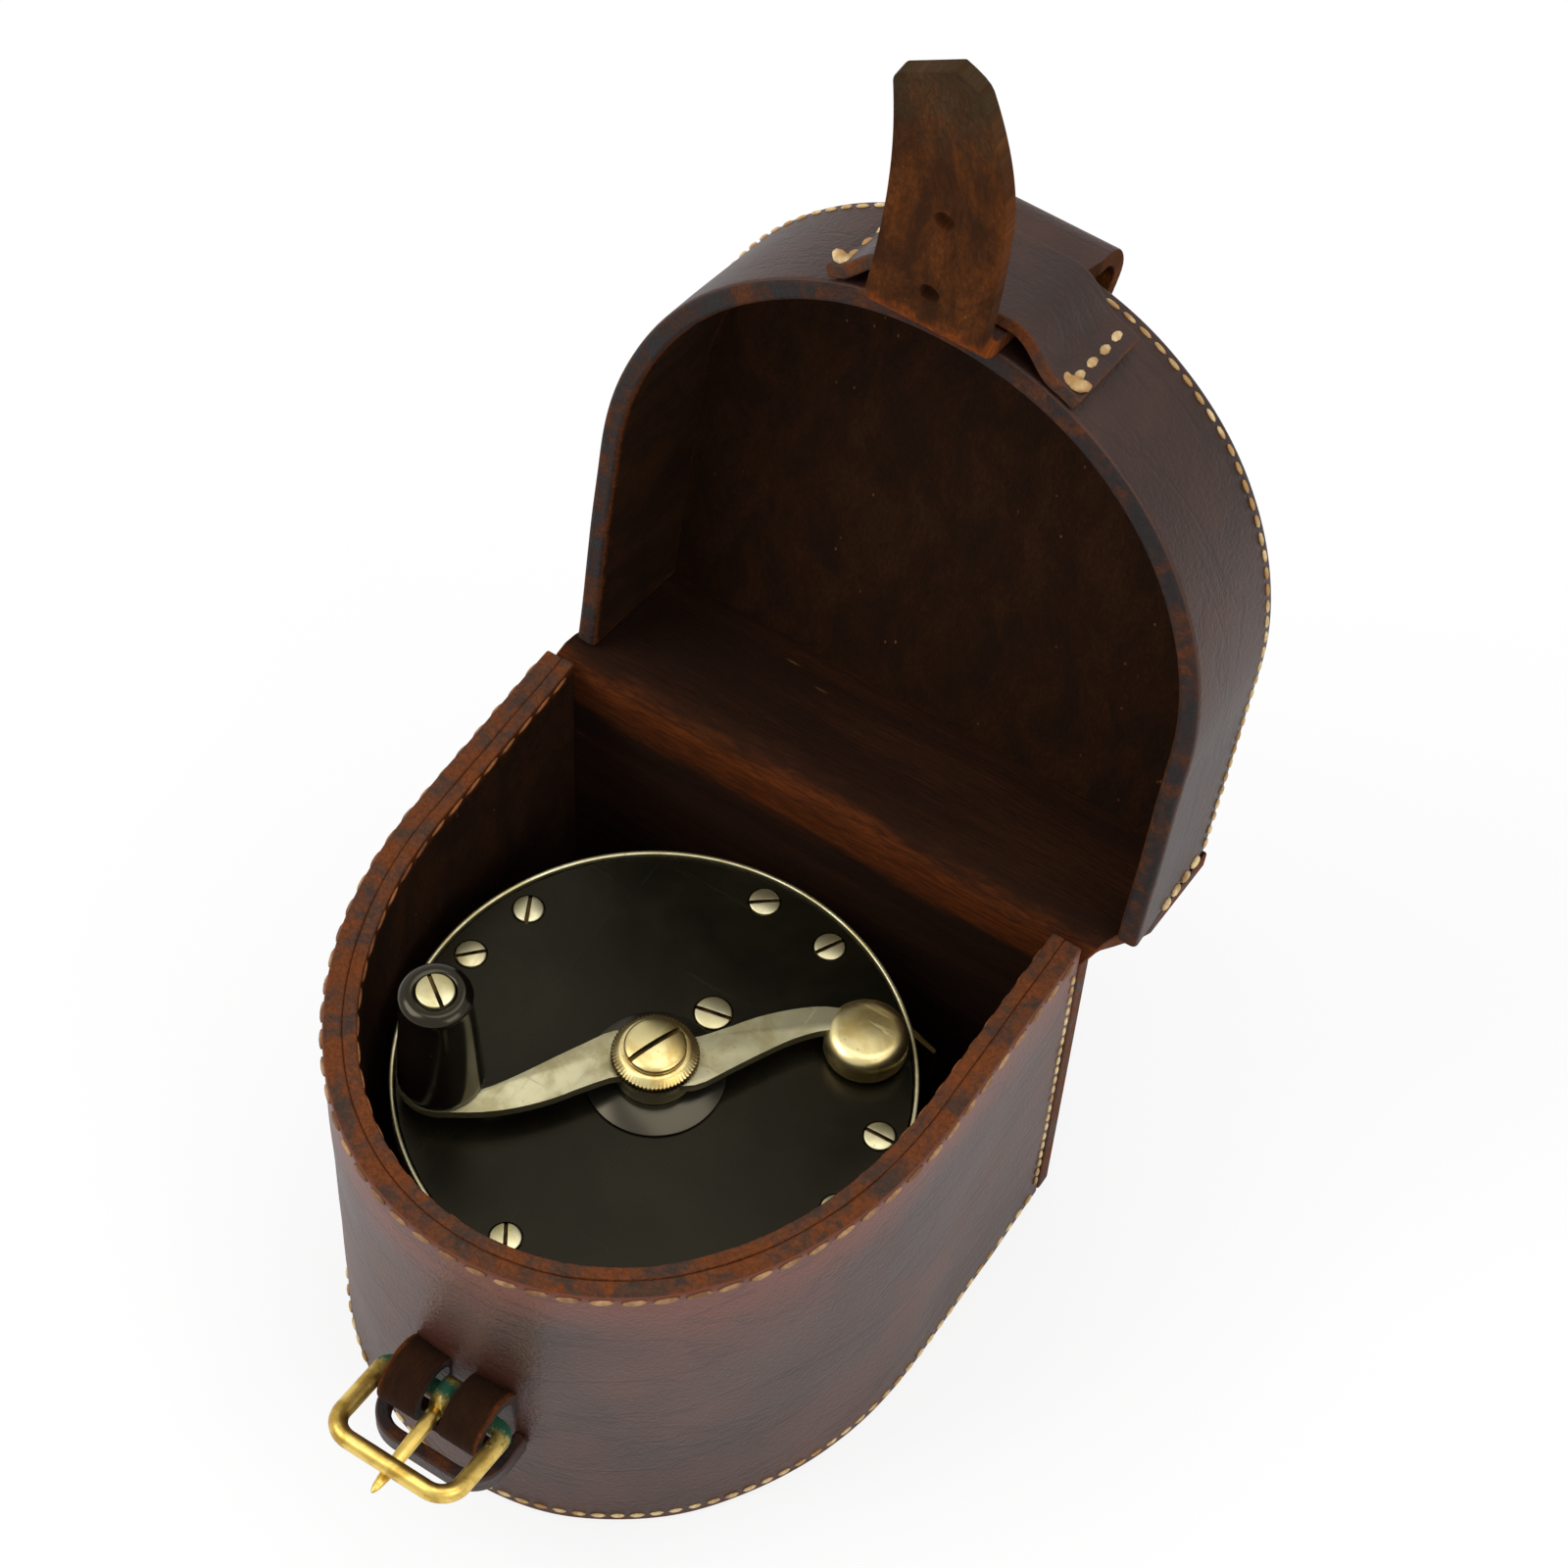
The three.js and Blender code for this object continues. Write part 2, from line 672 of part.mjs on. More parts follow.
// The frame lies in its own X-Y plane with its bar on the X axis.
function makeBuckleFrame(group) {
  const line = roundedRectangle(-buckleHalfWidth, buckleHalfWidth, -buckleReach, 0, buckleCorner * 0.5);
  const near = roundedRectangle(-buckleHalfWidth, buckleHalfWidth, -buckleReach, 0, buckleCorner);
  const half = line.length / 2;
  addPiece(group, 'buckle_frame', wireRing([...line.slice(0, half), ...near.slice(half)], wireRadius), brass);
}

function makeProng(group) {
  const eyeInner = wireRadius + seam;
  const eyeOuter = eyeInner + prongEye;
  const tongue = [[0, prongThickness / 2], [-prongLength + prongThickness, prongThickness / 2],
    [-prongLength, 0], [-prongLength + prongThickness, -prongThickness / 2], [0, -prongThickness / 2]];
  const eye = disc(eyeOuter, -prongWidth / 2, prongWidth / 2, smallSides).rotateY(Math.PI / 2);
  const hole = disc(eyeInner, -prongWidth, prongWidth, smallSides).rotateY(Math.PI / 2);
  addPiece(group, 'buckle_prong', cut(joined(across(plan(tongue), prongWidth), eye), hole), brass);
}

// Reel body
function makePlates(group) {
  const innerRim = plateRadius - rimWidth;
  const pocket = (orbit, angle, radius) => {
    const [x, y] = onPlate(orbit, angle);
    const depth = screwSink + seam;
    return disc(radius + seam, -overrun, depth, smallSides).translate(x, y, 0);
  };
  const pockets = pillarAngles.map((angle) => pocket(pillarOrbit, angle, screwRadius));
  const oilPocket = pocket(bossRadius + oilScrewGap + oilScrewRadius, oilScrewAngle, oilScrewRadius);

  const face = tube(innerRim - seam, bushRadius + seam, faceLow, faceTop);
  const faceCuts = [...pockets, oilPocket].map((cutter) => cutter.clone().rotateX(Math.PI).scale(1, -1, 1));
  addPiece(group, 'face_plate', cut(face, ...faceCuts.map((cutter) => cutter.translate(0, 0, faceTop))), ebonite);

  const tail = tube(innerRim - seam, bushRadius + seam, tailLow, tailTop);
  const slotHalf = clickStemRadius + seam;
  const slotNear = clickRadius + seam + pawlPoint + pawlLength / 2 - slotHalf;
  const slot = block(-slotHalf, slotHalf, -slotNear - slotHalf * 2 - clickTravel, -slotNear, 0, tailTop + overrun);
  addPiece(group, 'tail_plate', cut(tail, slot), ebonite);

  addPiece(group, 'face_rim', tube(plateRadius, innerRim, faceLow, reelRimTop), nickelSilver);
  addPiece(group, 'tail_rim', tube(plateRadius, innerRim, tailLow - rimRaise, tailTop), nickelSilver);
}

function makeScrews(group) {
  const [low, high] = [faceTop - screwSink, faceTop + screwRaise];
  pillarAngles.forEach((angle, i) => {
    const [x, y] = onPlate(pillarOrbit, angle);
    const head = screwHead(screwRadius, low, high, screwSlotWidth, screwSlotDepth, screwTurns[i] * toRadians);
    addPiece(group, `face_screw_${i + 1}`, head.translate(x, y, 0), nickelSilver);
  });

  const [x, y] = onPlate(bossRadius + oilScrewGap + oilScrewRadius, oilScrewAngle);
  const oil = screwHead(oilScrewRadius, low, high, screwSlotWidth, screwSlotDepth, oilScrewTurn * toRadians);
  addPiece(group, 'oil_screw', oil.translate(x, y, 0), nickelSilver);
}

function makeBearings(group) {
  const bossLow = faceTop + seam;
  const boss = turned([[boreRadius, faceLow], [bushRadius, faceLow], [bushRadius, bossLow], [bossRadius, bossLow],
    [bossRadius, bossLow + bossEdge], [bossCrown, bossTop], [boreRadius, bossTop], [boreRadius, faceLow]]);
  addPiece(group, 'face_bearing', boss, ebonite);

  const cap = turned([[0, 0], [capRadius - edgeLip, 0], [capRadius, edgeLip], [capRadius, capHeight],
    [bushRadius, capHeight], [bushRadius, tailTop + seam], [boreRadius, tailTop + seam], [boreRadius, capFloor],
    [0, capFloor]]);
  addPiece(group, 'tail_bearing', cap, nickelSilver);
}

function makePillars(group) {
  pillarAngles.forEach((angle, i) => {
    const [x, y] = onPlate(pillarOrbit, angle);
    const post = disc(pillarRadius, pillarLow, pillarTop, smallSides);
    addPiece(group, `pillar_${i + 1}`, post.translate(x, y, 0), nickelSilver);
  });
}

function makeFoot(group) {
  const middle = (pillarLow + pillarTop) / 2;
  const bridgeIn = pillarOrbit * Math.cos(pillarAngles[0] * toRadians) + pillarRadius + seam;
  const footIn = footReach - footThickness;
  const bridge = block(-footBridgeHalfLength, footBridgeHalfLength, bridgeIn, footIn - seam,
    middle - footBridgeHalfWidth, middle + footBridgeHalfWidth);
  addPiece(group, 'foot_bridge', bridge, nickelSilver);

  const side = plan([[-footHalfLength, footIn], [footHalfLength, footIn], [footHalfLength, footIn + footEdge],
    [footBridgeHalfLength, footReach], [-footBridgeHalfLength, footReach], [-footHalfLength, footIn + footEdge]]);
  const slab = raised(side, middle - footHalfWidth, middle + footHalfWidth);
  const tip = footTipHalfWidth;
  const outline = plan([[-footHalfLength, -tip], [-footBridgeHalfLength, -footHalfWidth],
    [footBridgeHalfLength, -footHalfWidth], [footHalfLength, -tip], [footHalfLength, tip],
    [footBridgeHalfLength, footHalfWidth], [-footBridgeHalfLength, footHalfWidth], [-footHalfLength, tip]]);
  const stencil = raised(outline, -footReach - overrun, overrun - footIn).rotateX(Math.PI / 2).translate(0, 0, middle);
  const holes = [-footScrewSpread, footScrewSpread].map((x) => disc(footScrewRadius + seam, 0, footReach * 2, smallSides)
    .rotateX(-Math.PI / 2)
    .translate(x, 0, middle));
  addPiece(group, 'reel_foot', cut(common(slab, stencil), ...holes), nickelSilver);

  [-footScrewSpread, footScrewSpread].forEach((x, i) => {
    const head = screwHead(footScrewRadius, footIn, footReach - footScrewHead + seam, screwSlotWidth, screwSlotDepth, 0);
    addPiece(group, `foot_screw_${i + 1}`, head.rotateX(-Math.PI / 2).translate(x, 0, middle), nickelSilver);
  });
}

// Spool on its spindle
function makeSpool(group) {
  const rearLow = tailTop + seam * 2 + clickThickness + seam;
  const rearTop = rearLow + flangeThickness;
  const frontTop = faceLow - flangeRoom;
  const frontLow = frontTop - flangeThickness;
  addPiece(group, 'spool_rear_flange', tube(flangeRadius, boreRadius, rearLow, rearTop), nickelSilver);
  addPiece(group, 'spool_front_flange', tube(flangeRadius, boreRadius, frontLow, frontTop), nickelSilver);
  addPiece(group, 'spool_arbor', tube(arborRadius, boreRadius, rearTop + seam, frontLow - seam), ebonite);

  const gearLow = tailTop + seam * 2;
  const wheel = raised(plan(toothedLine(clickRadius, clickToothDepth, clickTeeth)), gearLow, gearLow + clickThickness);
  addPiece(group, 'click_wheel', cut(wheel, disc(boreRadius, 0, faceTop)), brass);

  const shoulderLow = bossTop + seam;
  const spindle = turned([[0, capFloor + seam], [spindleRadius, capFloor + seam], [spindleRadius, shoulderLow],
    [shoulderRadius, shoulderLow], [shoulderRadius - edgeLip, armLow - seam], [spindleRadius, armLow - seam],
    [spindleRadius, collarTop], [0, collarTop]]);
  addPiece(group, 'spindle', spindle, nickelSilver);
}

// The arm lies along +Y, with the counterweight there and the knob opposite.
function armLine(grow) {
  const middle = (armBendShares.length - 1) / 2;
  const left = [];
  const right = [];
  armBendShares.forEach((share, i) => {
    const reach = knobOrbit * (i - middle) / middle;
    const half = armWidthShares[i] * knobOrbit + grow;
    left.push(new THREE.Vector2(-share * knobOrbit - half, reach));
    right.push(new THREE.Vector2(-share * knobOrbit + half, reach));
  });
  const smooth = (points) => new THREE.SplineCurve(points).getPoints(bandSteps * 3);
  return [...smooth(right), ...smooth(left).reverse()].map((point) => [point.x, point.y]);
}

function makeHandle(group) {
  const eyeRadius = knobBaseRadius - knobOverhang;
  const bar = raised(plan(armLine(0)), armLow, armTop);
  const knobEye = disc(eyeRadius, armLow, armTop, roundSides).translate(-tipAside, -knobOrbit, 0);
  const weightEye = disc(weightEyeRadius, armLow, armTop, smallSides).translate(-tipAside, weightOrbit, 0);
  const hub = disc(shoulderRadius, armLow, armTop);
  const pinHole = disc(knobPinRadius + seam, 0, knobTop, smallSides).translate(-tipAside, -knobOrbit, 0);
  const hubHole = disc(boreRadius, 0, knobTop, smallSides);
  addPiece(group, 'handle_arm', cut(joined(bar, knobEye, weightEye, hub), pinHole, hubHole), nickelSilver);

  const collar = raised(plan(toothedLine(collarRadius, collarToothDepth, collarTeeth)), collarLow, collarTop);
  const [bandTop, clear] = [collarLow + collarBand, collarRadius + overrun];
  const shave = turned([[collarRadius, bandTop], [clear, bandTop], [clear, collarTop + overrun],
    [collarTopRadius, collarTop + overrun], [collarTopRadius, collarTop], [collarRadius, bandTop]]);
  const shaved = cut(collar, shave);
  addPiece(group, 'knurled_collar', cut(shaved, disc(boreRadius, 0, knobTop)), nickelSilver);

  const domeSteps = [0, 0.35, 0.7, 1];
  const dome = domeSteps.map((share) => [
    hubScrewRadius * Math.cos(share * Math.PI / 2),
    hubScrewLow + hubScrewHeight * (0.4 + 0.6 * Math.sin(share * Math.PI / 2)),
  ]);
  dome[dome.length - 1][0] = 0;
  const screw = turned([[0, hubScrewLow], [hubScrewRadius, hubScrewLow], ...dome]);
  const top = hubScrewLow + hubScrewHeight;
  const slot = block(-hubScrewRadius * 2, hubScrewRadius * 2, -hubSlotWidth / 2, hubSlotWidth / 2,
    top - hubSlotDepth, top + overrun);
  addPiece(group, 'hub_screw', cut(screw, slot.rotateZ(hubSlotTurn * toRadians)), nickelSilver);
}

function makeCounterweight(group) {
  const [low, high] = [armLow - weightDrop, armTop + weightRise];
  const side = high - weightCrown - weightShoulder;
  const flat = weightRadius - weightShoulder;
  const steps = bandSteps / 2;
  const profile = [[0, low], [weightRadius - weightEdge, low], [weightRadius, low + weightEdge]];
  for (let i = 0; i <= steps; i += 1) {
    const turn = (i / steps) * Math.PI / 2;
    profile.push([flat + weightShoulder * Math.cos(turn), side + weightShoulder * Math.sin(turn)]);
  }
  profile.push([0, high]);
  const body = turned(profile).translate(-tipAside, weightOrbit, 0);
  const seat = joined(
    raised(plan(armLine(seam)), armLow - seam, armTop + seam),
    disc(weightEyeRadius + seam, armLow - seam, armTop + seam, smallSides).translate(-tipAside, weightOrbit, 0),
  );
  addPiece(group, 'counterweight', cut(body, seat), nickelSilver);
}

function makeKnob(group) {
  const recess = knobPinSink + seam;
  const wide = knobPinHeadRadius + seam;
  const bore = knobPinRadius + seam;
  const neck = knobTopRadius * knobNeckShare;
  const profile = [
    [bore, knobLow], [knobBaseRadius - edgeLip, knobLow], [knobBaseRadius, knobLow + edgeLip],
    [(knobBaseRadius + neck) / 2, (knobLow + knobTop) / 2], [neck, knobTop - knobTopEdge * 2],
    [knobTopRadius, knobTop - knobTopEdge], [knobTopRadius - edgeLip, knobTop - edgeLip],
    [knobTopRadius - knobTopEdge, knobTop], [wide, knobTop], [wide, knobTop - recess],
    [bore, knobTop - recess], [bore, knobLow]];
  addPiece(group, 'handle_knob', turned(profile), ebonite);
}

function makeKnobPin(group) {
  const headLow = knobTop - knobPinSink;
  const headTop = headLow + knobPinHeadHeight;
  const pin = turned([[0, armLow], [knobPinRadius, armLow], [knobPinRadius, headLow], [knobPinHeadRadius, headLow],
    [knobPinHeadRadius, headTop], [0, headTop]], smallSides);
  const slot = block(-knobPinHeadRadius * 2, knobPinHeadRadius * 2, -screwSlotWidth / 2, screwSlotWidth / 2,
    headTop - screwSlotDepth, headTop + overrun);
  addPiece(group, 'knob_pin', cut(pin, slot.rotateZ(knobSlotTurn * toRadians)), nickelSilver);
}

// Click work on the inside of the tail plate
function makeClick(group) {
  const [low, high] = [tailTop + seam, tailTop + seam + clickThickness];
  const tipY = -clickRadius - seam;
  const pawlBack = tipY - pawlPoint - pawlLength;
  const pawl = raised(plan([[0, tipY], [-pawlHalfWidth, tipY - pawlPoint], [-pawlHalfWidth, pawlBack],
    [pawlHalfWidth, pawlBack], [pawlHalfWidth, tipY - pawlPoint]]), low, high);
  addPiece(group, 'click_pawl', pawl, springSteel);

  const stemY = tipY - pawlPoint - pawlLength / 2;
  const button = joined(
    disc(clickButtonRadius, capHeight - clickButtonHeight, capHeight, smallSides),
    disc(clickStemRadius, capHeight - clickButtonHeight / 2, low - seam, smallSides),
  );
  addPiece(group, 'click_button', button.translate(0, stemY, 0), nickelSilver);

  const room = pawlHalfWidth + clickSpringRoom;
  const far = pawlBack - clickTravel - clickSpringRoom;
  const wide = room + clickSpringThickness;
  const spring = raised(plan([[-wide, tipY - pawlPoint], [-room, tipY - pawlPoint], [-room, far], [room, far],
    [room, tipY - pawlPoint], [wide, tipY - pawlPoint], [wide, far - clickSpringThickness],
    [-wide, far - clickSpringThickness]]), low, high);
  addPiece(group, 'click_spring', spring, springSteel);
}

// Assembly
const model = new THREE.Group();
makeCase(model);
makeHingeStrip(model);

const lidSwing = new THREE.Group();
lidSwing.position.set(0, hingeY, hingeZ);
lidSwing.rotation.x = -lidOpen * toRadians;
model.add(lidSwing);

const lidPlace = new THREE.Group();
lidPlace.position.set(lidCreep, lidCentreY - hingeY, lidRimZ - hingeZ);
lidSwing.add(lidPlace);
makeLid(lidPlace);
makeBridgeLoop(lidPlace);
makeStrapBase(lidPlace);

const foldPlace = new THREE.Group();
foldPlace.position.set(0, -strapPlane - foldRadius, -foldDrop);
lidPlace.add(foldPlace);
makeStrapFold(foldPlace);

const tailPlace = new THREE.Group();
tailPlace.rotation.x = lidOpen * toRadians;
foldPlace.add(tailPlace);
makeStrapTail(tailPlace);

makeChape(model);
makeKeeper(model);
const buckleSwing = new THREE.Group();
buckleSwing.position.set(buckleAside, buckleY, buckleZ);
buckleSwing.rotation.x = -buckleTilt * toRadians;
model.add(buckleSwing);
makeBuckleFrame(buckleSwing);

const prongSwing = new THREE.Group();
prongSwing.rotation.x = Math.asin((wireRadius + seam + prongThickness / 2) / buckleReach);
buckleSwing.add(prongSwing);
makeProng(prongSwing);

const reel = new THREE.Group();
reel.position.set(reelAside, -reelForward, reelFloor);
reel.rotation.z = -footSkew * toRadians;
model.add(reel);
makePlates(reel);
makeScrews(reel);
makeBearings(reel);
makePillars(reel);
makeFoot(reel);
makeClick(reel);
makeSpool(reel);

const handle = new THREE.Group();
handle.rotation.z = -(armAngle - footSkew) * toRadians;
reel.add(handle);
makeHandle(handle);
makeCounterweight(handle);

const knobPlace = new THREE.Group();
knobPlace.position.set(-tipAside, -knobOrbit, 0);
handle.add(knobPlace);
makeKnob(knobPlace);
makeKnobPin(knobPlace);

export default model;
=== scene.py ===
import bpy
import bmesh
import json
from bisect import bisect_right
from math import asin, atan2, cos, hypot, pi, radians, sin
from mathutils import Matrix, Vector, noise


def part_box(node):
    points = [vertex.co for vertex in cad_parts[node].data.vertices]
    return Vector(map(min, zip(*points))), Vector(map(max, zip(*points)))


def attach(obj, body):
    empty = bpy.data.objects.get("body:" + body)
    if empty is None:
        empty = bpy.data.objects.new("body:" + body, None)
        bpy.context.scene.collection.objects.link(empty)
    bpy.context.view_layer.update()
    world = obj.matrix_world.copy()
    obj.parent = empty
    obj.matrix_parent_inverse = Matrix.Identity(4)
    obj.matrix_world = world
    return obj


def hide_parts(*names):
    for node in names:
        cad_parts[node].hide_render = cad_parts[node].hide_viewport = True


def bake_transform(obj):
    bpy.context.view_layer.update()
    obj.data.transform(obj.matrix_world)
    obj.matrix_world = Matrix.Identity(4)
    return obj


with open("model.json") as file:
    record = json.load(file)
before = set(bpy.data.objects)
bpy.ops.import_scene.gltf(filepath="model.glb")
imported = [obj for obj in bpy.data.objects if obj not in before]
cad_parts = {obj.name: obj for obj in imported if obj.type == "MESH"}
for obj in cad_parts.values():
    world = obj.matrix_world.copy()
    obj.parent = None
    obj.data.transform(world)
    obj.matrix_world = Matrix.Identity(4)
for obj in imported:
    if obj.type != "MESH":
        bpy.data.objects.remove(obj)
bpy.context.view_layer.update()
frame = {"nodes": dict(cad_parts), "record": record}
mm = 0.001
print("frame loaded:", len(frame["nodes"]), "parts")


class Shape(dict):
    # Dictionary whose values also read as attributes
    __getattr__ = dict.__getitem__


def inMm(**sizes):
    return Shape((name, size * mm) for name, size in sizes.items())


def placed(name, data):
    thing = bpy.data.objects.new(name, data)
    bpy.context.scene.collection.objects.link(thing)
    return thing


def evaluatedMesh(thing):
    return bpy.data.meshes.new_from_object(thing.evaluated_get(bpy.context.evaluated_depsgraph_get()))


# Camera, fitted to the case's rim, its base, the lid and the reel's plate
viewpoint = Shape(place=(187.217, -296.389, 654.353), azimuth=29.85, elevation=55.87, roll=3.86, lens=92.25,
                  sensor=36.0, nearest=0.01)


def turned(degrees, axis="Z"):
    return Matrix.Rotation(radians(degrees), 4, axis)


def placeCamera(spec):
    camera = placed("camera", bpy.data.cameras.new("camera"))
    camera.data.lens = spec.lens
    camera.data.sensor_width = spec.sensor
    camera.data.clip_start = spec.nearest
    camera.matrix_world = (Matrix.Translation(Vector(spec.place) * mm) @ turned(spec.azimuth)
                           @ turned(90 - spec.elevation, "X") @ turned(spec.roll))
    bpy.context.scene.camera = camera


placeCamera(viewpoint)


class Net:
    # A node tree with short calls for its nodes
    def __init__(self, tree):
        self.tree = tree

    def feed(self, value, socket):
        if isinstance(value, bpy.types.NodeSocket):
            self.tree.links.new(value, socket)
        else:
            socket.default_value = value

    def add(self, kind, inputs=(), **settings):
        node = self.tree.nodes.new("ShaderNode" + kind)
        for name, value in settings.items():
            setattr(node, name, value)
        for socket, value in dict(inputs).items():
            self.feed(value, node.inputs[socket])
        return node

    def math(self, operation, *values):
        return self.add("Math", enumerate(values), operation=operation).outputs[0]

    def times(self, value, share, extra=0.0):
        return self.math("MULTIPLY_ADD", value, share, extra)

    def minus(self, value, less):
        return self.math("SUBTRACT", value, less)

    def noise(self, vector, scale, detail=4.0, roughness=0.55, distortion=0.0):
        return self.add("TexNoise", {"Vector": vector, "Scale": scale, "Detail": detail, "Roughness": roughness,
                                     "Distortion": distortion}).outputs["Fac"]

    def cells(self, vector, scale, **settings):
        return self.add("TexVoronoi", {"Vector": vector, "Scale": scale}, **settings).outputs["Distance"]

    def ramp(self, value, low, high, toLow=0.0, toHigh=1.0):
        return self.add("MapRange", {"Value": value, "From Min": low, "From Max": high, "To Min": toLow,
                                     "To Max": toHigh}, interpolation_type="SMOOTHSTEP").outputs["Result"]

    def layered(self, base, *coats):
        # Each coat is a share and a tone
        for share, coat in coats:
            base = self.add("Mix", {"Factor": share, "A": base, "B": coat}, data_type="RGBA").outputs["Result"]
        return base

    def stretched(self, vector, scale):
        return self.add("Mapping", {"Vector": vector, "Scale": scale}).outputs["Vector"]

    def surface(self, kind):
        return self.add("TexCoord").outputs[kind]

    def mark(self, name):
        return self.add("Attribute", attribute_name=name).outputs["Fac"]

    def group(self, tree, vector, **values):
        inputs = {label.replace("_", " "): value for label, value in values.items()}
        return self.add("Group", node_tree=tree, inputs={"Vector": vector, **inputs}).outputs


# Light and floor
studio = Shape(
    floorSize=12, floorTone=(0.96, 0.96, 0.96), floorGlow=0.8, world=0.62,
    # Place, aim, size and power of each lamp
    lamps={
        "softboxLeft": ((-0.75, -0.55, 1.15), (0, 0, 0.09), 0.85, 9.0),
        "softboxRight": ((0.95, -0.15, 0.85), (0, 0, 0.08), 0.7, 4.0),
        "softboxTop": ((0.1, 0.25, 1.35), (0, 0, 0.05), 0.9, 5.0),
    },
)


def makeFloor(spec):
    bpy.ops.mesh.primitive_plane_add(size=spec.floorSize)
    floor = bpy.context.object
    floor.name = "floor"
    look = bpy.data.materials.new("paperFloor")
    look.use_nodes = True
    look.node_tree.nodes.clear()
    net = Net(look.node_tree)
    matte = net.add("BsdfDiffuse", {"Color": (*spec.floorTone, 1)})
    share = net.times(net.add("LightPath").outputs["Is Camera Ray"], spec.floorGlow)
    blend = net.add("MixShader", {0: share, 1: matte.outputs[0], 2: net.add("Emission").outputs[0]})
    net.add("OutputMaterial", {"Surface": blend.outputs[0]})
    floor.data.materials.append(look)


def makeWorld(spec):
    world = bpy.context.scene.world or bpy.data.worlds.new("studio")
    bpy.context.scene.world = world
    world.use_nodes = True
    world.node_tree.nodes.clear()
    net = Net(world.node_tree)
    path = net.add("LightPath").outputs
    seen = net.math("MAXIMUM", path["Is Camera Ray"], path["Is Glossy Ray"])
    seen = net.math("MAXIMUM", seen, path["Is Transmission Ray"])
    strength = net.add("MapRange", {"To Min": spec.world, "To Max": 1.0, "Value": seen})
    backdrop = net.add("Background", {"Strength": strength.outputs["Result"]})
    net.add("OutputWorld", {"Surface": backdrop.outputs[0]})


def makeLamps(spec):
    for name, (place, aim, size, power) in spec.lamps.items():
        data = bpy.data.lights.new(name, "AREA")
        data.size = size
        data.energy = power
        lamp = placed(name, data)
        lamp.location = place
        lamp.rotation_euler = (Vector(place) - Vector(aim)).to_track_quat("Z", "Y").to_euler()


makeFloor(studio)
makeWorld(studio)
makeLamps(studio)
bpy.context.scene.view_settings.view_transform = "Standard"
print("camera, floor and lamps placed")


# Shader groups
def makeGroup(name, build, results, **values):
    # Build takes the net, a Vector and inputs with these values, and gives the results
    tree = bpy.data.node_groups.new(name, "ShaderNodeTree")
    sockets = tree.interface
    sockets.new_socket("Vector", in_out="INPUT", socket_type="NodeSocketVector")
    for label, value in values.items():
        label = label.replace("_", " ")
        sockets.new_socket(label, in_out="INPUT", socket_type="NodeSocketFloat").default_value = value
    for label in results:
        sockets.new_socket(label, in_out="OUTPUT", socket_type="NodeSocketFloat")
    given = tree.nodes.new("NodeGroupInput").outputs
    for value, socket in zip(build(Net(tree), given["Vector"], given), tree.nodes.new("NodeGroupOutput").inputs):
        tree.links.new(value, socket)
    return tree


def pebbledGrain(net, vector, given):
    cells = net.cells(vector, given["Pebbles"], feature="SMOOTH_F1")
    fine = net.noise(vector, net.times(given["Pebbles"], 0.45), 3.0)
    folds = net.noise(net.stretched(vector, (0.3, 1.0, 1.0)), given["Creases"], 5.0, 0.6, 0.7)
    crease = net.ramp(net.math("ABSOLUTE", net.minus(folds, 0.5)), 0.0, 0.035, 1.0, 0.0)
    mottle = net.noise(vector, net.times(given["Creases"], 0.4), 5.0, 0.6, 0.3)
    height = net.times(cells, 0.5, net.times(fine, 0.5))
    return net.minus(height, net.times(crease, given["Crease Depth"])), mottle, crease


def brokenWear(net, vector, given):
    broken = net.noise(vector, given["Size"], 5.0, 0.65, 0.4)
    reached = net.math("ADD", given["Wear"], net.times(broken, 0.9, -0.45))
    low = net.minus(1.0, given["Reach"])
    return net.ramp(reached, low, net.math("ADD", low, 0.45)), broken


def suedeFibres(net, vector, given):
    fibre = net.noise(vector, given["Fibre"], 4.0, 0.7, 0.8)
    patch = net.noise(vector, given["Patches"], 8.0, 0.72, 0.5)
    fleck = net.ramp(net.cells(vector, net.times(given["Fibre"], 0.3)), 0.05, 0.11, 1.0, 0.0)
    thin = net.ramp(net.noise(vector, net.times(given["Fibre"], 0.1), 2.0), 0.54, 0.62)
    return fibre, patch, net.times(fleck, thin)


def smudgesAndScratches(net, vector, given):
    smudge = net.noise(vector, given["Smudges"], 6.0, 0.6, 0.4)
    scratches = [net.noise(net.stretched(vector, lay), given["Scratches"], 3.0, 0.7, 0.5)
                 for lay in ((1.0, 0.06, 1.0), (0.06, 1.0, 1.0))]
    scratch = net.math("MAXIMUM", *(net.ramp(lines, 0.62, 0.7) for lines in scratches))
    specks = net.noise(vector, net.times(given["Smudges"], 9.0), 3.0)
    return smudge, scratch, net.ramp(specks, 0.66, 0.74)


grainGroup = makeGroup("leatherGrain", pebbledGrain, ("Height", "Mottle", "Crease"),
                       Pebbles=1100.0, Creases=90.0, Crease_Depth=0.5)
wearGroup = makeGroup("rubbedEdge", brokenWear, ("Mask", "Broken"), Wear=0.0, Size=400.0, Reach=0.5)
napGroup = makeGroup("suedeNap", suedeFibres, ("Height", "Patch", "Fleck"), Fibre=1500.0, Patches=60.0)
handledGroup = makeGroup("handledMetal", smudgesAndScratches, ("Smudge", "Scratch", "Speck"),
                         Smudges=120.0, Scratches=300.0)


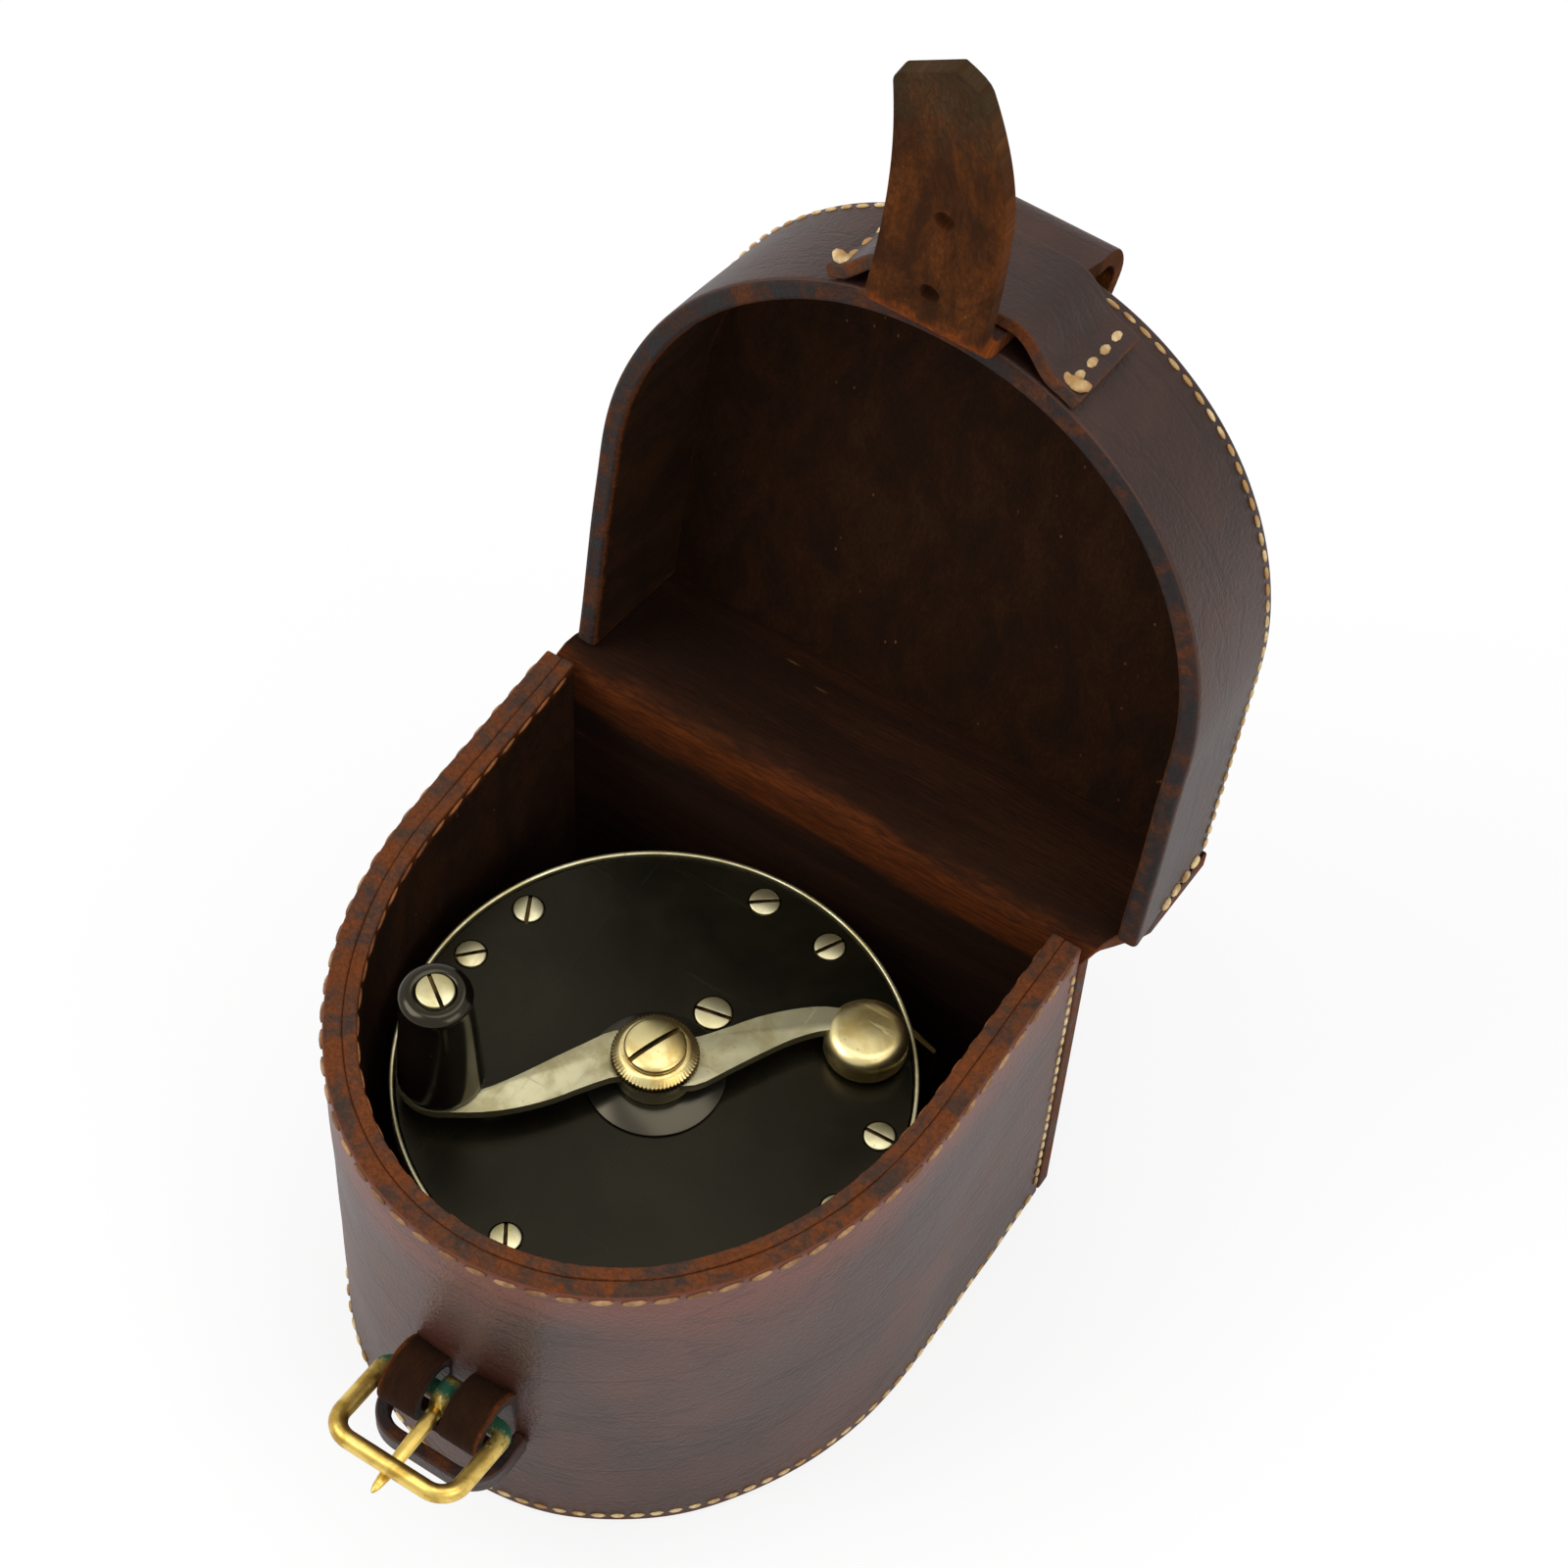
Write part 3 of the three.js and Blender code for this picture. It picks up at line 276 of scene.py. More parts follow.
class Look(Net):
    # Material whose fixed values go straight to the shader's sockets
    def __init__(self, name, roughness, metallic=0.0, **fixed):
        self.material = bpy.data.materials.new(name)
        self.material.use_nodes = True
        super().__init__(self.material.node_tree)
        self.shader = self.tree.nodes["Principled BSDF"].inputs
        for label, value in {"Roughness": roughness, "Metallic": metallic, **fixed}.items():
            self.shader[label.replace("_", " ")].default_value = value

    def finish(self, height, distance, strength, **feeds):
        bump = self.add("Bump", {"Strength": strength, "Distance": distance, "Height": height})
        for label, value in {"Normal": bump.outputs["Normal"], **feeds}.items():
            self.feed(value, self.shader[label.replace("_", " ")])
        return self.material


def tone(*parts):
    # From sRGB
    shares = [part / 255 for part in parts]
    return (*(s / 12.92 if s <= 0.04045 else ((s + 0.055) / 1.055) ** 2.4 for s in shares), 1.0)


def tonesOf(**parts):
    return Shape((name, tone(*part)) for name, part in parts.items())


# Leather
def grainLook(name, tones, creaseDepth=0.3, reach=0.45, roughness=0.44, shine=0.4):
    net = Look(name, roughness, Specular_IOR_Level=shine, Coat_Weight=0.08, Coat_Roughness=0.4)
    uv = net.surface("UV")
    grain = net.group(grainGroup, uv, Pebbles=1700.0, Creases=60.0, Crease_Depth=creaseDepth)
    edge = net.group(wearGroup, uv, Wear=net.mark("wear"), Size=500.0, Reach=reach)
    warmth = net.math("ADD", net.mark("warm"), net.times(grain["Mottle"], 0.8, -0.4))
    # The crease tone paints shade into the creases
    worn = net.layered(tones.dark, (net.ramp(grain["Mottle"], 0.35, 0.65), tones.sheen),
                       (net.ramp(warmth, 0.2, 0.9), tones.warm), (net.times(grain["Crease"], 0.3), tones.crease),
                       (net.times(edge["Mask"], 0.8), tones.worn))
    dull = net.times(edge["Mask"], 0.3, net.times(grain["Mottle"], 0.2, roughness - 0.1))
    return net.finish(grain["Height"], 0.0003, 0.8, Base_Color=worn, Roughness=dull)


def suedeLook(name, tones, fibre=1500.0, patches=60.0, reach=0.5, lay=(1.0, 0.5, 1.0)):
    net = Look(name, 0.92, Specular_IOR_Level=0.08)
    uv = net.stretched(net.surface("UV"), lay)
    nap = net.group(napGroup, uv, Fibre=fibre, Patches=patches)
    edge = net.group(wearGroup, uv, Wear=net.mark("wear"), Size=350.0, Reach=reach)
    stain = net.ramp(net.times(net.mark("stain"), edge["Broken"]), 0.15, 0.5, 0.0, 0.75)
    worn = net.layered(tones.dark, (net.ramp(nap["Patch"], 0.38, 0.66), tones.light),
                       (net.times(nap["Fleck"], 0.7), tones.fleck), (edge["Mask"], tones.worn),
                       (stain, tones.get("stain", tones.dark)),
                       (net.ramp(nap["Height"], 0.35, 0.65, 0.0, 0.6), tones.dark))
    return net.finish(nap["Height"], 0.0005, 0.9, Base_Color=worn)


def cutEdgeLook(name, tones, burnish=0.5):
    net = Look(name, 0.8, Specular_IOR_Level=0.2)
    nap = net.group(napGroup, net.surface("Object"), Fibre=1300.0, Patches=150.0)
    rough = net.layered(tones.burnished, (net.ramp(nap["Patch"], burnish - 0.1, burnish + 0.14), tones.raw),
                        (net.ramp(nap["Height"], 0.35, 0.7, 0.0, 0.5), tones.dark))
    return net.finish(nap["Height"], 0.0004, 0.9, Base_Color=rough,
                      Roughness=net.ramp(nap["Patch"], 0.4, 0.6, 0.55, 0.95))


# In each leather's tones, crease is painted shade for the creases
oxblood = tonesOf(dark=(52, 25, 17), sheen=(80, 45, 33), warm=(100, 44, 24), crease=(30, 15, 10),
                  worn=(100, 50, 27))
lidTones = tonesOf(dark=(42, 22, 15), sheen=(62, 36, 26), warm=(80, 38, 22), crease=(26, 13, 9),
                   worn=(84, 44, 26))
suede = tonesOf(dark=(36, 20, 10), light=(56, 31, 14), fleck=(150, 104, 58), worn=(106, 54, 22))
bandTones = tonesOf(dark=(34, 18, 9), light=(58, 31, 15), fleck=(130, 90, 50), worn=(100, 48, 16))
fleshTones = tonesOf(dark=(54, 29, 11), light=(108, 58, 20), fleck=(130, 84, 36), worn=(142, 70, 22),
                     stain=(66, 56, 38))
edgeTones = tonesOf(burnished=(58, 43, 33), raw=(114, 60, 26), dark=(36, 20, 11))
slateTones = tonesOf(burnished=(38, 34, 34), raw=(98, 54, 28), dark=(26, 18, 14))

leather = Shape(
    outer=grainLook("oxbloodLeather", oxblood),
    lid=grainLook("lidLeather", lidTones, reach=0.3, roughness=0.5, shine=0.3),
    inner=suedeLook("darkSuede", suede, patches=110.0),
    band=suedeLook("wornHingeSuede", bandTones, lay=(0.12, 1.0, 1.0)),
    rim=cutEdgeLook("rawRimEdge", edgeTones, 0.46),
    slate=cutEdgeLook("burnishedLidEdge", slateTones, 0.53),
    flesh=suedeLook("strapFleshSide", fleshTones, 1300.0, 90.0),
)


# Thread
def threadLook(name, light, dark):
    net = Look(name, 0.75)
    place = net.surface("Object")
    fuzz = net.noise(place, 1400.0, 4.0, 0.6)
    body = net.layered(tone(*light), (net.ramp(net.noise(place, 130.0, 3.0, 0.6), 0.4, 0.62), tone(*dark)),
                       (net.ramp(fuzz, 0.4, 0.7, 0.0, 0.5), tone(*dark)))
    return net.finish(fuzz, 0.0002, 0.8, Base_Color=body)


thread = Shape(
    cream=threadLook("creamThread", (236, 210, 158), (172, 130, 76)),
    tan=threadLook("tanThread", (176, 136, 92), (112, 74, 42)),
    amber=threadLook("amberThread", (170, 102, 46), (104, 56, 24)),
)


# Metal and hard rubber
def metalLook(name, bright, dull, roughness, smudges=120.0, crust=None):
    net = Look(name, roughness, 1.0)
    place = net.surface("Object")
    handled = net.group(handledGroup, place, Smudges=smudges, Scratches=500.0)
    body = net.layered(tone(*bright), (net.ramp(handled["Smudge"], 0.4, 0.65), tone(*dull)),
                       (net.times(handled["Speck"], 0.5), tone(70, 58, 34)))
    rough = net.times(handled["Scratch"], 0.1, net.times(handled["Smudge"], 0.22, roughness - 0.1))
    feeds = {}
    if crust:
        edge = net.group(wearGroup, place, Wear=net.mark("wear"), Size=1100.0, Reach=0.6)["Mask"]
        body = net.layered(body, (edge, tone(*crust)))
        rough = net.times(edge, 0.5, rough)
        feeds = {"Metallic": net.minus(1.0, edge)}
    return net.finish(handled["Scratch"], 0.00002, 0.5, Base_Color=body, Roughness=rough, **feeds)


def rubberLook(name, dark, light, roughness, shine):
    net = Look(name, roughness, IOR=1.5, Specular_IOR_Level=shine, Specular_Tint=(1.0, 0.88, 0.62, 1.0))
    handled = net.group(handledGroup, net.surface("Object"), Smudges=45.0, Scratches=260.0)
    body = net.layered(tone(*dark), (net.ramp(handled["Smudge"], 0.35, 0.7), tone(*light)))
    rough = net.times(handled["Scratch"], 0.08, net.times(handled["Smudge"], 0.16, roughness - 0.06))
    return net.finish(handled["Scratch"], 0.00001, 0.3, Base_Color=body, Roughness=rough)


metal = Shape(
    nickelSilver=metalLook("agedNickelSilver", (206, 198, 160), (184, 172, 124), 0.38),
    golden=metalLook("goldenNickelSilver", (222, 206, 148), (198, 172, 106), 0.33, 160.0),
    # Dark metal for slot walls, the knurled band and the reel foot: grime and painted shade
    grime=metalLook("grimyShadedNickelSilver", (96, 78, 42), (46, 34, 18), 0.6, 300.0),
    brass=metalLook("agedBrass", (230, 198, 108), (178, 144, 66), 0.34, 200.0, crust=(16, 74, 50)),
    arm=metalLook("armNickelSilver", (172, 165, 132), (150, 141, 104), 0.42, 160.0),
    steel=metalLook("springSteel", (150, 150, 152), (104, 102, 100), 0.36),
)
rubber = Shape(
    plate=rubberLook("plateHardRubber", (9, 8, 4), (22, 19, 11), 0.24, 0.22),
    boss=rubberLook("bossHardRubber", (20, 19, 16), (38, 36, 30), 0.2, 0.6),
    knob=rubberLook("knobHardRubber", (10, 7, 5), (20, 15, 11), 0.16, 0.45),
)
print("looks ready:", len(bpy.data.materials))


# Every CAD part gets its look first; detailed pieces then stand for some of them
cadLooks = {
    "hard_rubber": rubber.plate, "nickel_silver": metal.nickelSilver, "brass": metal.brass,
    "spring_steel": metal.steel, "case_leather": leather.outer, "lining_leather": leather.inner,
    "strap_leather": leather.flesh,
}


def dressCadParts():
    for entry in frame["record"]["subparts"]:
        for slot in frame["nodes"][entry["node"]].material_slots:
            slot.material = cadLooks[entry["material_slot"]]
    # The reel foot takes the dark metal: grime and painted shade
    for slot in frame["nodes"]["reel_foot"].material_slots:
        slot.material = metal.grime


dressCadParts()


# Paths, sheets and pieces
def makePath(points):
    lengths = [0.0]
    for a, b in zip(points, points[1:]):
        lengths.append(lengths[-1] + (b - a).length)
    return points, lengths


def pathLength(path):
    return path[1][-1]


def pathPoint(path, reach):
    points, lengths = path
    i = min(max(bisect_right(lengths, reach) - 1, 0), len(points) - 2)
    return points[i].lerp(points[i + 1], (reach - lengths[i]) / (lengths[i + 1] - lengths[i]))


def pathFrame(path, reach, step=0.4 * mm):
    # Place, direction and the side to its left
    low, high = max(reach - step, 0.0), min(reach + step, pathLength(path))
    along = (pathPoint(path, high) - pathPoint(path, low)).normalized()
    return pathPoint(path, reach), along, Vector((-along.y, along.x))


def arcPoints(centre, radius, start, end, steps):
    turns = [start + (end - start) * i / steps for i in range(steps + 1)]
    return [Vector((centre[0] + radius * cos(t), centre[1] + radius * sin(t))) for t in turns]


def smoothLine(points, steps):
    # Rounded line through the points
    line = []
    ends = [points[0], *points, points[-1]]
    for before, a, b, after in zip(ends, ends[1:], ends[2:], ends[3:]):
        for t in (k / steps for k in range(steps)):
            line.append(0.5 * (2 * a + (b - before) * t + (2 * before - 5 * a + 4 * b - after) * t * t
                               + (3 * a - before - 3 * b + after) * t ** 3))
    return [*line, points[-1]]


def move(bm, matrix):
    bmesh.ops.transform(bm, matrix=matrix, verts=bm.verts[:])


def drift(*spot):
    return noise.noise(Vector(spot))


def fade(distance, reach):
    # From 1 down to 0 at the reach
    return max(0.0, 1 - distance / reach)


def clamped(share):
    return min(1.0, max(0.0, share))


def finishMesh(name, bm, looks, body, replaced, smooth=True):
    mesh = bpy.data.meshes.new(name)
    bm.to_mesh(mesh)
    bm.free()
    piece = placed(name, mesh)
    for look in looks:
        mesh.materials.append(look)
    if smooth:
        mesh.polygons.foreach_set("use_smooth", [True] * len(mesh.polygons))
    if isinstance(body, str):
        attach(piece, body)
    else:
        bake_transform(piece)
    if replaced:
        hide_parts(*replaced)
    return piece


def roundEdges(piece, width, segments=2, limit=35):
    bevel = piece.modifiers.new("rounding", "BEVEL")
    bevel.width = width
    bevel.segments = segments
    bevel.limit_method = "ANGLE"
    bevel.angle_limit = radians(limit)
    bevel.harden_normals = True
    return piece


def leatherPiece(name, bm, looks, body, replaced, thickness, rounding, offset=-1.0, segments=3, even=True,
                 smooth=True):
    # Looks are those of the face, the back and the cut edge
    piece = finishMesh(name, bm, [leather[look] for look in looks], body, replaced, smooth)
    solid = piece.modifiers.new("thickness", "SOLIDIFY")
    solid.thickness = thickness
    solid.offset = offset
    solid.use_even_offset = even
    solid.material_offset = 1
    solid.material_offset_rim = 2
    return roundEdges(piece, rounding, segments, 50)


def edgeWear(size, reach):
    return lambda u, v: fade(min(u, size[0] - u, v, size[1] - v), reach)


def sheetMesh(size, cell, place, wear, flip, **marks):
    # Bent grid with metric UVs; wear and marks give each vertex a share for its look
    bm = bmesh.new()
    uvLayer = bm.loops.layers.uv.new("UVMap")
    marks = {"wear": wear, **marks}
    layers = {name: bm.verts.layers.float.new(name) for name in marks}
    cells = [max(1, round(side / cell)) for side in size]
    bmesh.ops.create_grid(bm, x_segments=cells[0], y_segments=cells[1], size=0.5)
    for face in bm.faces:
        for loop in face.loops:
            loop[uvLayer].uv = [(loop.vert.co[i] + 0.5) * size[i] for i in (0, 1)]
    for vert in bm.verts:
        u, v = ((vert.co[i] + 0.5) * size[i] for i in (0, 1))
        for name, layer in layers.items():
            vert[layer] = marks[name](u, v)
        vert.co = place(u, v)
    if flip:
        bmesh.ops.reverse_faces(bm, faces=bm.faces[:])
    return bm


def panelMesh(line, insets, place, outward, worn):
    # Flat sheet with rings inside its edge
    bm = bmesh.new()
    uvLayer = bm.loops.layers.uv.new("UVMap")
    wearLayer = bm.verts.layers.float.new("wear")
    bm.faces.new([bm.verts.new((p.x, p.y, 0)) for p in line])
    for inset in insets:
        bm.normal_update()
        widest = max(bm.faces, key=lambda face: face.calc_area())
        bmesh.ops.inset_region(bm, faces=[widest], thickness=inset, use_boundary=True)
    for face in bm.faces:
        for loop in face.loops:
            loop[uvLayer].uv = loop.vert.co.xy
    for vert in bm.verts:
        vert[wearLayer] = worn if vert.is_boundary else 0.0
        vert.co = place(vert.co.x, vert.co.y)
    bm.normal_update()
    if next(iter(bm.faces)).normal.dot(outward) < 0:
        bmesh.ops.reverse_faces(bm, faces=bm.faces[:])
    return bm


# Case
caseLow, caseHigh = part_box("case_wall")
liningLow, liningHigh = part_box("rim_lining")
baseLow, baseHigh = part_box("case_base")
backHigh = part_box("case_back_wall")[1]
caseShape = Shape(
    inMm(wallThickness=3.3, wallRounding=0.45, wallWear=5, liningThickness=2.2, liningRounding=0.35,
         liningWear=7, liningPress=0.22, basePress=0.45, baseRise=0.2, baseInset=2, baseRounding=0.6,
         warmReach=26, rimWander=0.25, cell=1.4),
    frontPower=2.06, halfWidth=caseHigh.x, frontDepth=-caseLow.y, sideEnd=caseHigh.y, height=caseHigh.z,
)


def dPoints(halfWidth, frontDepth, backY, steps=128):
    # From the right back end round the front to the left back end
    points = [Vector((halfWidth, backY))]
    for i in range(steps + 1):
        aside, ahead = cos(pi * i / steps), sin(pi * i / steps)
        x = halfWidth * abs(aside) ** (2 / caseShape.frontPower) * (1 if aside >= 0 else -1)
        points.append(Vector((x, -frontDepth * abs(ahead) ** (2 / caseShape.frontPower))))
    return [*points, Vector((-halfWidth, backY))]


def dFront(shape, x):
    # How far the D's front lies ahead of its centre
    return shape.frontDepth * (1 - abs(x / shape.halfWidth) ** caseShape.frontPower) ** (1 / caseShape.frontPower)


def rimLift(spec, u, share, seed):
    # The rim wanders, and only down
    return (drift(u * 90, 0, seed) - 1) * spec.rimWander * share ** 8


def makeCaseWall(spec):
    path = makePath(dPoints(spec.halfWidth, spec.frontDepth, spec.sideEnd))
    size = (pathLength(path), spec.height)

    def place(u, v):
        point, _, side = pathFrame(path, u)
        share = v / spec.height
        ripple = drift(u * 60, v * 60, 1.7) * spec.rimWander
        spot = point + side * (ripple * (1 - share ** 8) - 0.1 * mm)
        return Vector((*spot, v + rimLift(spec, u, share, 4.1)))

    bm = sheetMesh(size, spec.cell, place, edgeWear(size, spec.wallWear), True,
                   warm=lambda u, v: fade(spec.height - v, spec.warmReach))
    leatherPiece("caseWallLeather", bm, ("outer", "inner", "rim"), "case", ["case_wall"],
                 spec.wallThickness, spec.wallRounding)


def makeCaseLining(spec):
    press, low = spec.liningPress, liningLow.z
    path = makePath(dPoints(liningHigh.x + press, press - liningLow.y, spec.sideEnd))
    size = (pathLength(path), spec.height - low)

    def place(u, v):
        return Vector((*pathPoint(path, u), low + v + rimLift(spec, u, v / size[1], 9.3)))

    bm = sheetMesh(size, spec.cell, place, lambda u, v: fade(size[1] - v, spec.liningWear), True)
    leatherPiece("caseLiningLeather", bm, ("inner", "inner", "rim"), "case", ["rim_lining"],
                 spec.liningThickness + press, spec.liningRounding)


def makeCaseBase(spec):
    reach, rise = spec.basePress, spec.baseRise
    line = dPoints(baseHigh.x + reach, reach - baseLow.y, spec.sideEnd + reach, 72)
    bm = panelMesh(line, [spec.baseInset], lambda x, y: Vector((x, y, rise)), Vector((0, 0, -1)), 0.0)
    leatherPiece("caseBaseLeather", bm, ("outer", "inner", "rim"), "case", ["case_base"],
                 baseHigh.z - baseLow.z - rise * 2, spec.baseRounding, even=False, smooth=False)


makeCaseWall(caseShape)
makeCaseLining(caseShape)
makeCaseBase(caseShape)
print("case wall, lining and base made")


# Lid, built where it lies closed and then swung open with everything sewn to it
lidShape = Shape(
    inMm(creep=5.4, halfWidth=56.9, frontDepth=62.7, wallEnd=45.6, straight=49.9, height=27.6, wallThickness=3.8,
         wallRounding=1.0, wallWear=3, wallRipple=0.2, panelThickness=3.3, panelOverlap=0.4, panelDrop=0.1,
         panelRounding=0.5, backThickness=4.0, cell=1.5,
         hingeY=40.799, hingeZ=84.25,
         centreBack=-47.5,  # from the hinge line to the D's centre
         rimRise=1.75),     # from the hinge line to the rim plane
    panelInsets=(1.5 * mm, 3 * mm, 6 * mm), open=98.7, draft=0.023, draftFront=0.036,
)
hingeLine = Vector((lidShape.hingeY, lidShape.hingeZ))
lidTurn = radians(lidShape.open)


def onLid(x, y, z, spec=lidShape):
    # From the closed lid's own place to the open lid's
    share = z / spec.height
    x *= 1 - spec.draft * share
    if y < 0:
        y *= 1 - spec.draftFront * share
    ahead, rise = y + spec.centreBack, z + spec.rimRise
    return Vector((x + spec.creep, hingeLine.x + ahead * cos(lidTurn) + rise * sin(lidTurn),
                   hingeLine.y - ahead * sin(lidTurn) + rise * cos(lidTurn)))


def makeLidWall(spec):
    path = makePath(dPoints(spec.halfWidth, spec.frontDepth, spec.wallEnd))
    size = (pathLength(path), spec.height)

    def place(u, v):
        point, _, side = pathFrame(path, u)
        ripple = drift(u * 50, v * 50, 7.7) * spec.wallRipple
        return onLid(*(point + side * (ripple - 0.15 * mm)), v)

    bm = sheetMesh(size, spec.cell, place, edgeWear(size, spec.wallWear), True)
    leatherPiece("lidWallLeather", bm, ("lid", "inner", "slate"), "lid", ["lid_wall"],
                 spec.wallThickness, spec.wallRounding, segments=4)


def makeLidPanel(spec):
    inset = spec.wallThickness - spec.panelOverlap
    line = dPoints(spec.halfWidth - inset, spec.frontDepth - inset, spec.wallEnd + caseShape.basePress, 72)
    bm = panelMesh(line, spec.panelInsets, lambda x, y: onLid(x, y, spec.height - spec.panelDrop),
                   onLid(0, 0, spec.height) - onLid(0, 0, 0), 1.0)
    leatherPiece("lidPanelLeather", bm, ("outer", "inner", "rim"), "lid", ["lid_panel"],
                 spec.panelThickness, spec.panelRounding, even=False, smooth=False)


makeLidWall(lidShape)
makeLidPanel(lidShape)
print("lid wall and panel made")


# The back leather runs from the case's base over the hinge into the lid
backShape = Shape(
    inMm(thickness=3.6, rounding=0.6, turnTop=79.25, turnLength=11, shiftLength=12, handle=3.4, free=5.0,
         bandStart=69, bandEnd=87, cell=1.6),
    halfWidth=backHigh.x, outerY=backHigh.y, lidShare=0.985, bandWear=0.95,
)


def backLine(spec, lid):
    # Middle of the back leather, in Y and Z, bottom first
    along = Vector((sin(lidTurn), cos(lidTurn)))
    outward = Vector((cos(lidTurn), -sin(lidTurn)))
    start = Vector((spec.outerY - spec.thickness / 2, spec.turnTop))
    end = hingeLine + along * spec.free + outward * (lid.straight + lid.centreBack - lid.backThickness / 2)
    first, second = start + Vector((0, spec.handle)), end - along * spec.handle
    bend = [start * (1 - t) ** 3 + first * 3 * t * (1 - t) ** 2 + second * 3 * t * t * (1 - t) + end * t ** 3
            for t in (i / 24 for i in range(1, 24))]
    far = end + along * (lid.height + lid.rimRise - spec.free)
    return [Vector((start.x, 0.0)), start, *bend, end, far]


def makeBackLeather(spec, lid):
    path = makePath(backLine(spec, lid))
    size = (spec.halfWidth * 2, pathLength(path))

    def place(u, v):
        point = pathPoint(path, v)
        shift = clamped((v - spec.turnTop) / spec.shiftLength)
        aside = (u - spec.halfWidth) * (1 + shift * (lid.halfWidth * spec.lidShare / spec.halfWidth - 1))
        return Vector((aside + lid.creep * shift, *point))

    def wear(u, v):
        half = (spec.bandEnd - spec.bandStart) / 2
        return max(0.0, 1 - (abs(v - spec.bandStart - half) / half) ** 2) * spec.bandWear

    bm = sheetMesh(size, spec.cell, place, wear, True)
    line = [Vector((0, *pathPoint(path, reach))) for reach in (spec.turnTop, spec.turnTop + spec.turnLength)]
    leatherPiece("backLeather", bm, ("outer", "band", "rim"), ("case", "lid", *line),
                 ["case_back_wall", "hinge_strip", "lid_back_wall"], spec.thickness, spec.rounding,
                 offset=0.0)


makeBackLeather(backShape, lidShape)
print("back and hinge leather made")


# Wide loop on the lid's front
bridgeShape = inMm(halfLength=22, aside=1.3, low=0.4, width=20.4, thickness=2.4, rounding=0.5, wear=2.5, ramp=8.0,
                   strapWidth=20.6, strapThickness=3.0, seam=0.3, cell=1.0)


def bridgeLine(spec, lid):
    flat = spec.strapWidth / 2 + spec.seam
    points = []
    for i in range(61):
        x = spec.aside + spec.halfLength * (2 * i / 60 - 1)
        wall = dFront(lid, x) + spec.seam
        share = clamped((flat + spec.ramp - abs(x)) / spec.ramp)
        share = share * share * (3 - 2 * share)
        over = (lid.frontDepth + spec.seam * 2 + spec.strapThickness) * share
        points.append(Vector((x, -max(wall, over + wall * (1 - share)))))
    return points


def makeBridge(spec):
    path = makePath(bridgeLine(spec, lidShape))
    size = (pathLength(path), spec.width)
    bm = sheetMesh(size, spec.cell, lambda u, v: onLid(*pathPoint(path, u), spec.low + v),
                   edgeWear(size, spec.wear), False)
    leatherPiece("bridgeLeather", bm, ("lid", "inner", "rim"), "lid", ["bridge_loop"],
                 spec.thickness, spec.rounding, offset=1.0)


makeBridge(bridgeShape)


# Strap: sewn to the lid's panel, over the edge, under the loop and folded up
strapShape = Shape(
    inMm(width=20.6, thickness=3.0, rounding=0.55, root=40, bulge=4.0, bulgeStart=15, foldRadius=5.0,
         foldDrop=1.2, foldWear=9, edgeWear=2.2, tail=52.0, taper=5.8, taperLength=29, tipCorner=3.4, tipSlope=5.6,
         tipIn=1.4, tipStain=30, bow=1.4, waist=0.6, skew=2.6, holeRadius=1.7, cell=0.85),
    holes=(5.2 * mm, 21.7 * mm),
)


def strapLine(spec, lid, loop):
    plane = lid.frontDepth + loop.seam + spec.thickness / 2
    panelZ = lid.height + loop.seam + spec.thickness / 2
    front, bulge = -lid.frontDepth, spec.bulge
    turns = smoothLine([Vector(p) for p in (
        (front + spec.root, panelZ),
        (front + (spec.root + spec.bulgeStart) / 2, panelZ),
        (front + spec.bulgeStart, panelZ),
        (front + spec.bulgeStart * 0.55, panelZ + bulge * 0.6),
        (front + bulge * 0.6, panelZ + bulge * 1.1),
        (-plane - bulge * 0.1, panelZ + bulge * 0.1),
        (-plane, loop.low + loop.width),
        (-plane, (loop.low + loop.width) / 2),
        (-plane, -spec.foldDrop),
    )], 10)
    centre = (-plane - spec.foldRadius, -spec.foldDrop)
    local = [*turns, *arcPoints(centre, spec.foldRadius, 0, lidTurn - pi, 14)[1:]]
    line = [onLid(0, *p).yz for p in local]
    path = makePath([*line, line[-1] + Vector((0, spec.tail))])
    return path, path[1][len(turns) - 1], path[1][-2]


def strapEdges(spec, reach):
    # How far the left and right edges of the free end lie from its middle line
    half = spec.width / 2
    left = spec.tail - reach
    swell = sin(pi * clamped(reach / spec.tail))
    taper = spec.taper * fade(left, spec.taperLength) ** 1.9
    corner = min(spec.tipCorner, max(0.0, spec.tipCorner - left)) ** 2 / spec.tipCorner
    shift = spec.bow * swell
    pulled = spec.waist * swell + spec.tipIn * fade(left, spec.tail) ** 2
    return shift - half + pulled + corner * 0.3, shift + half - taper - corner


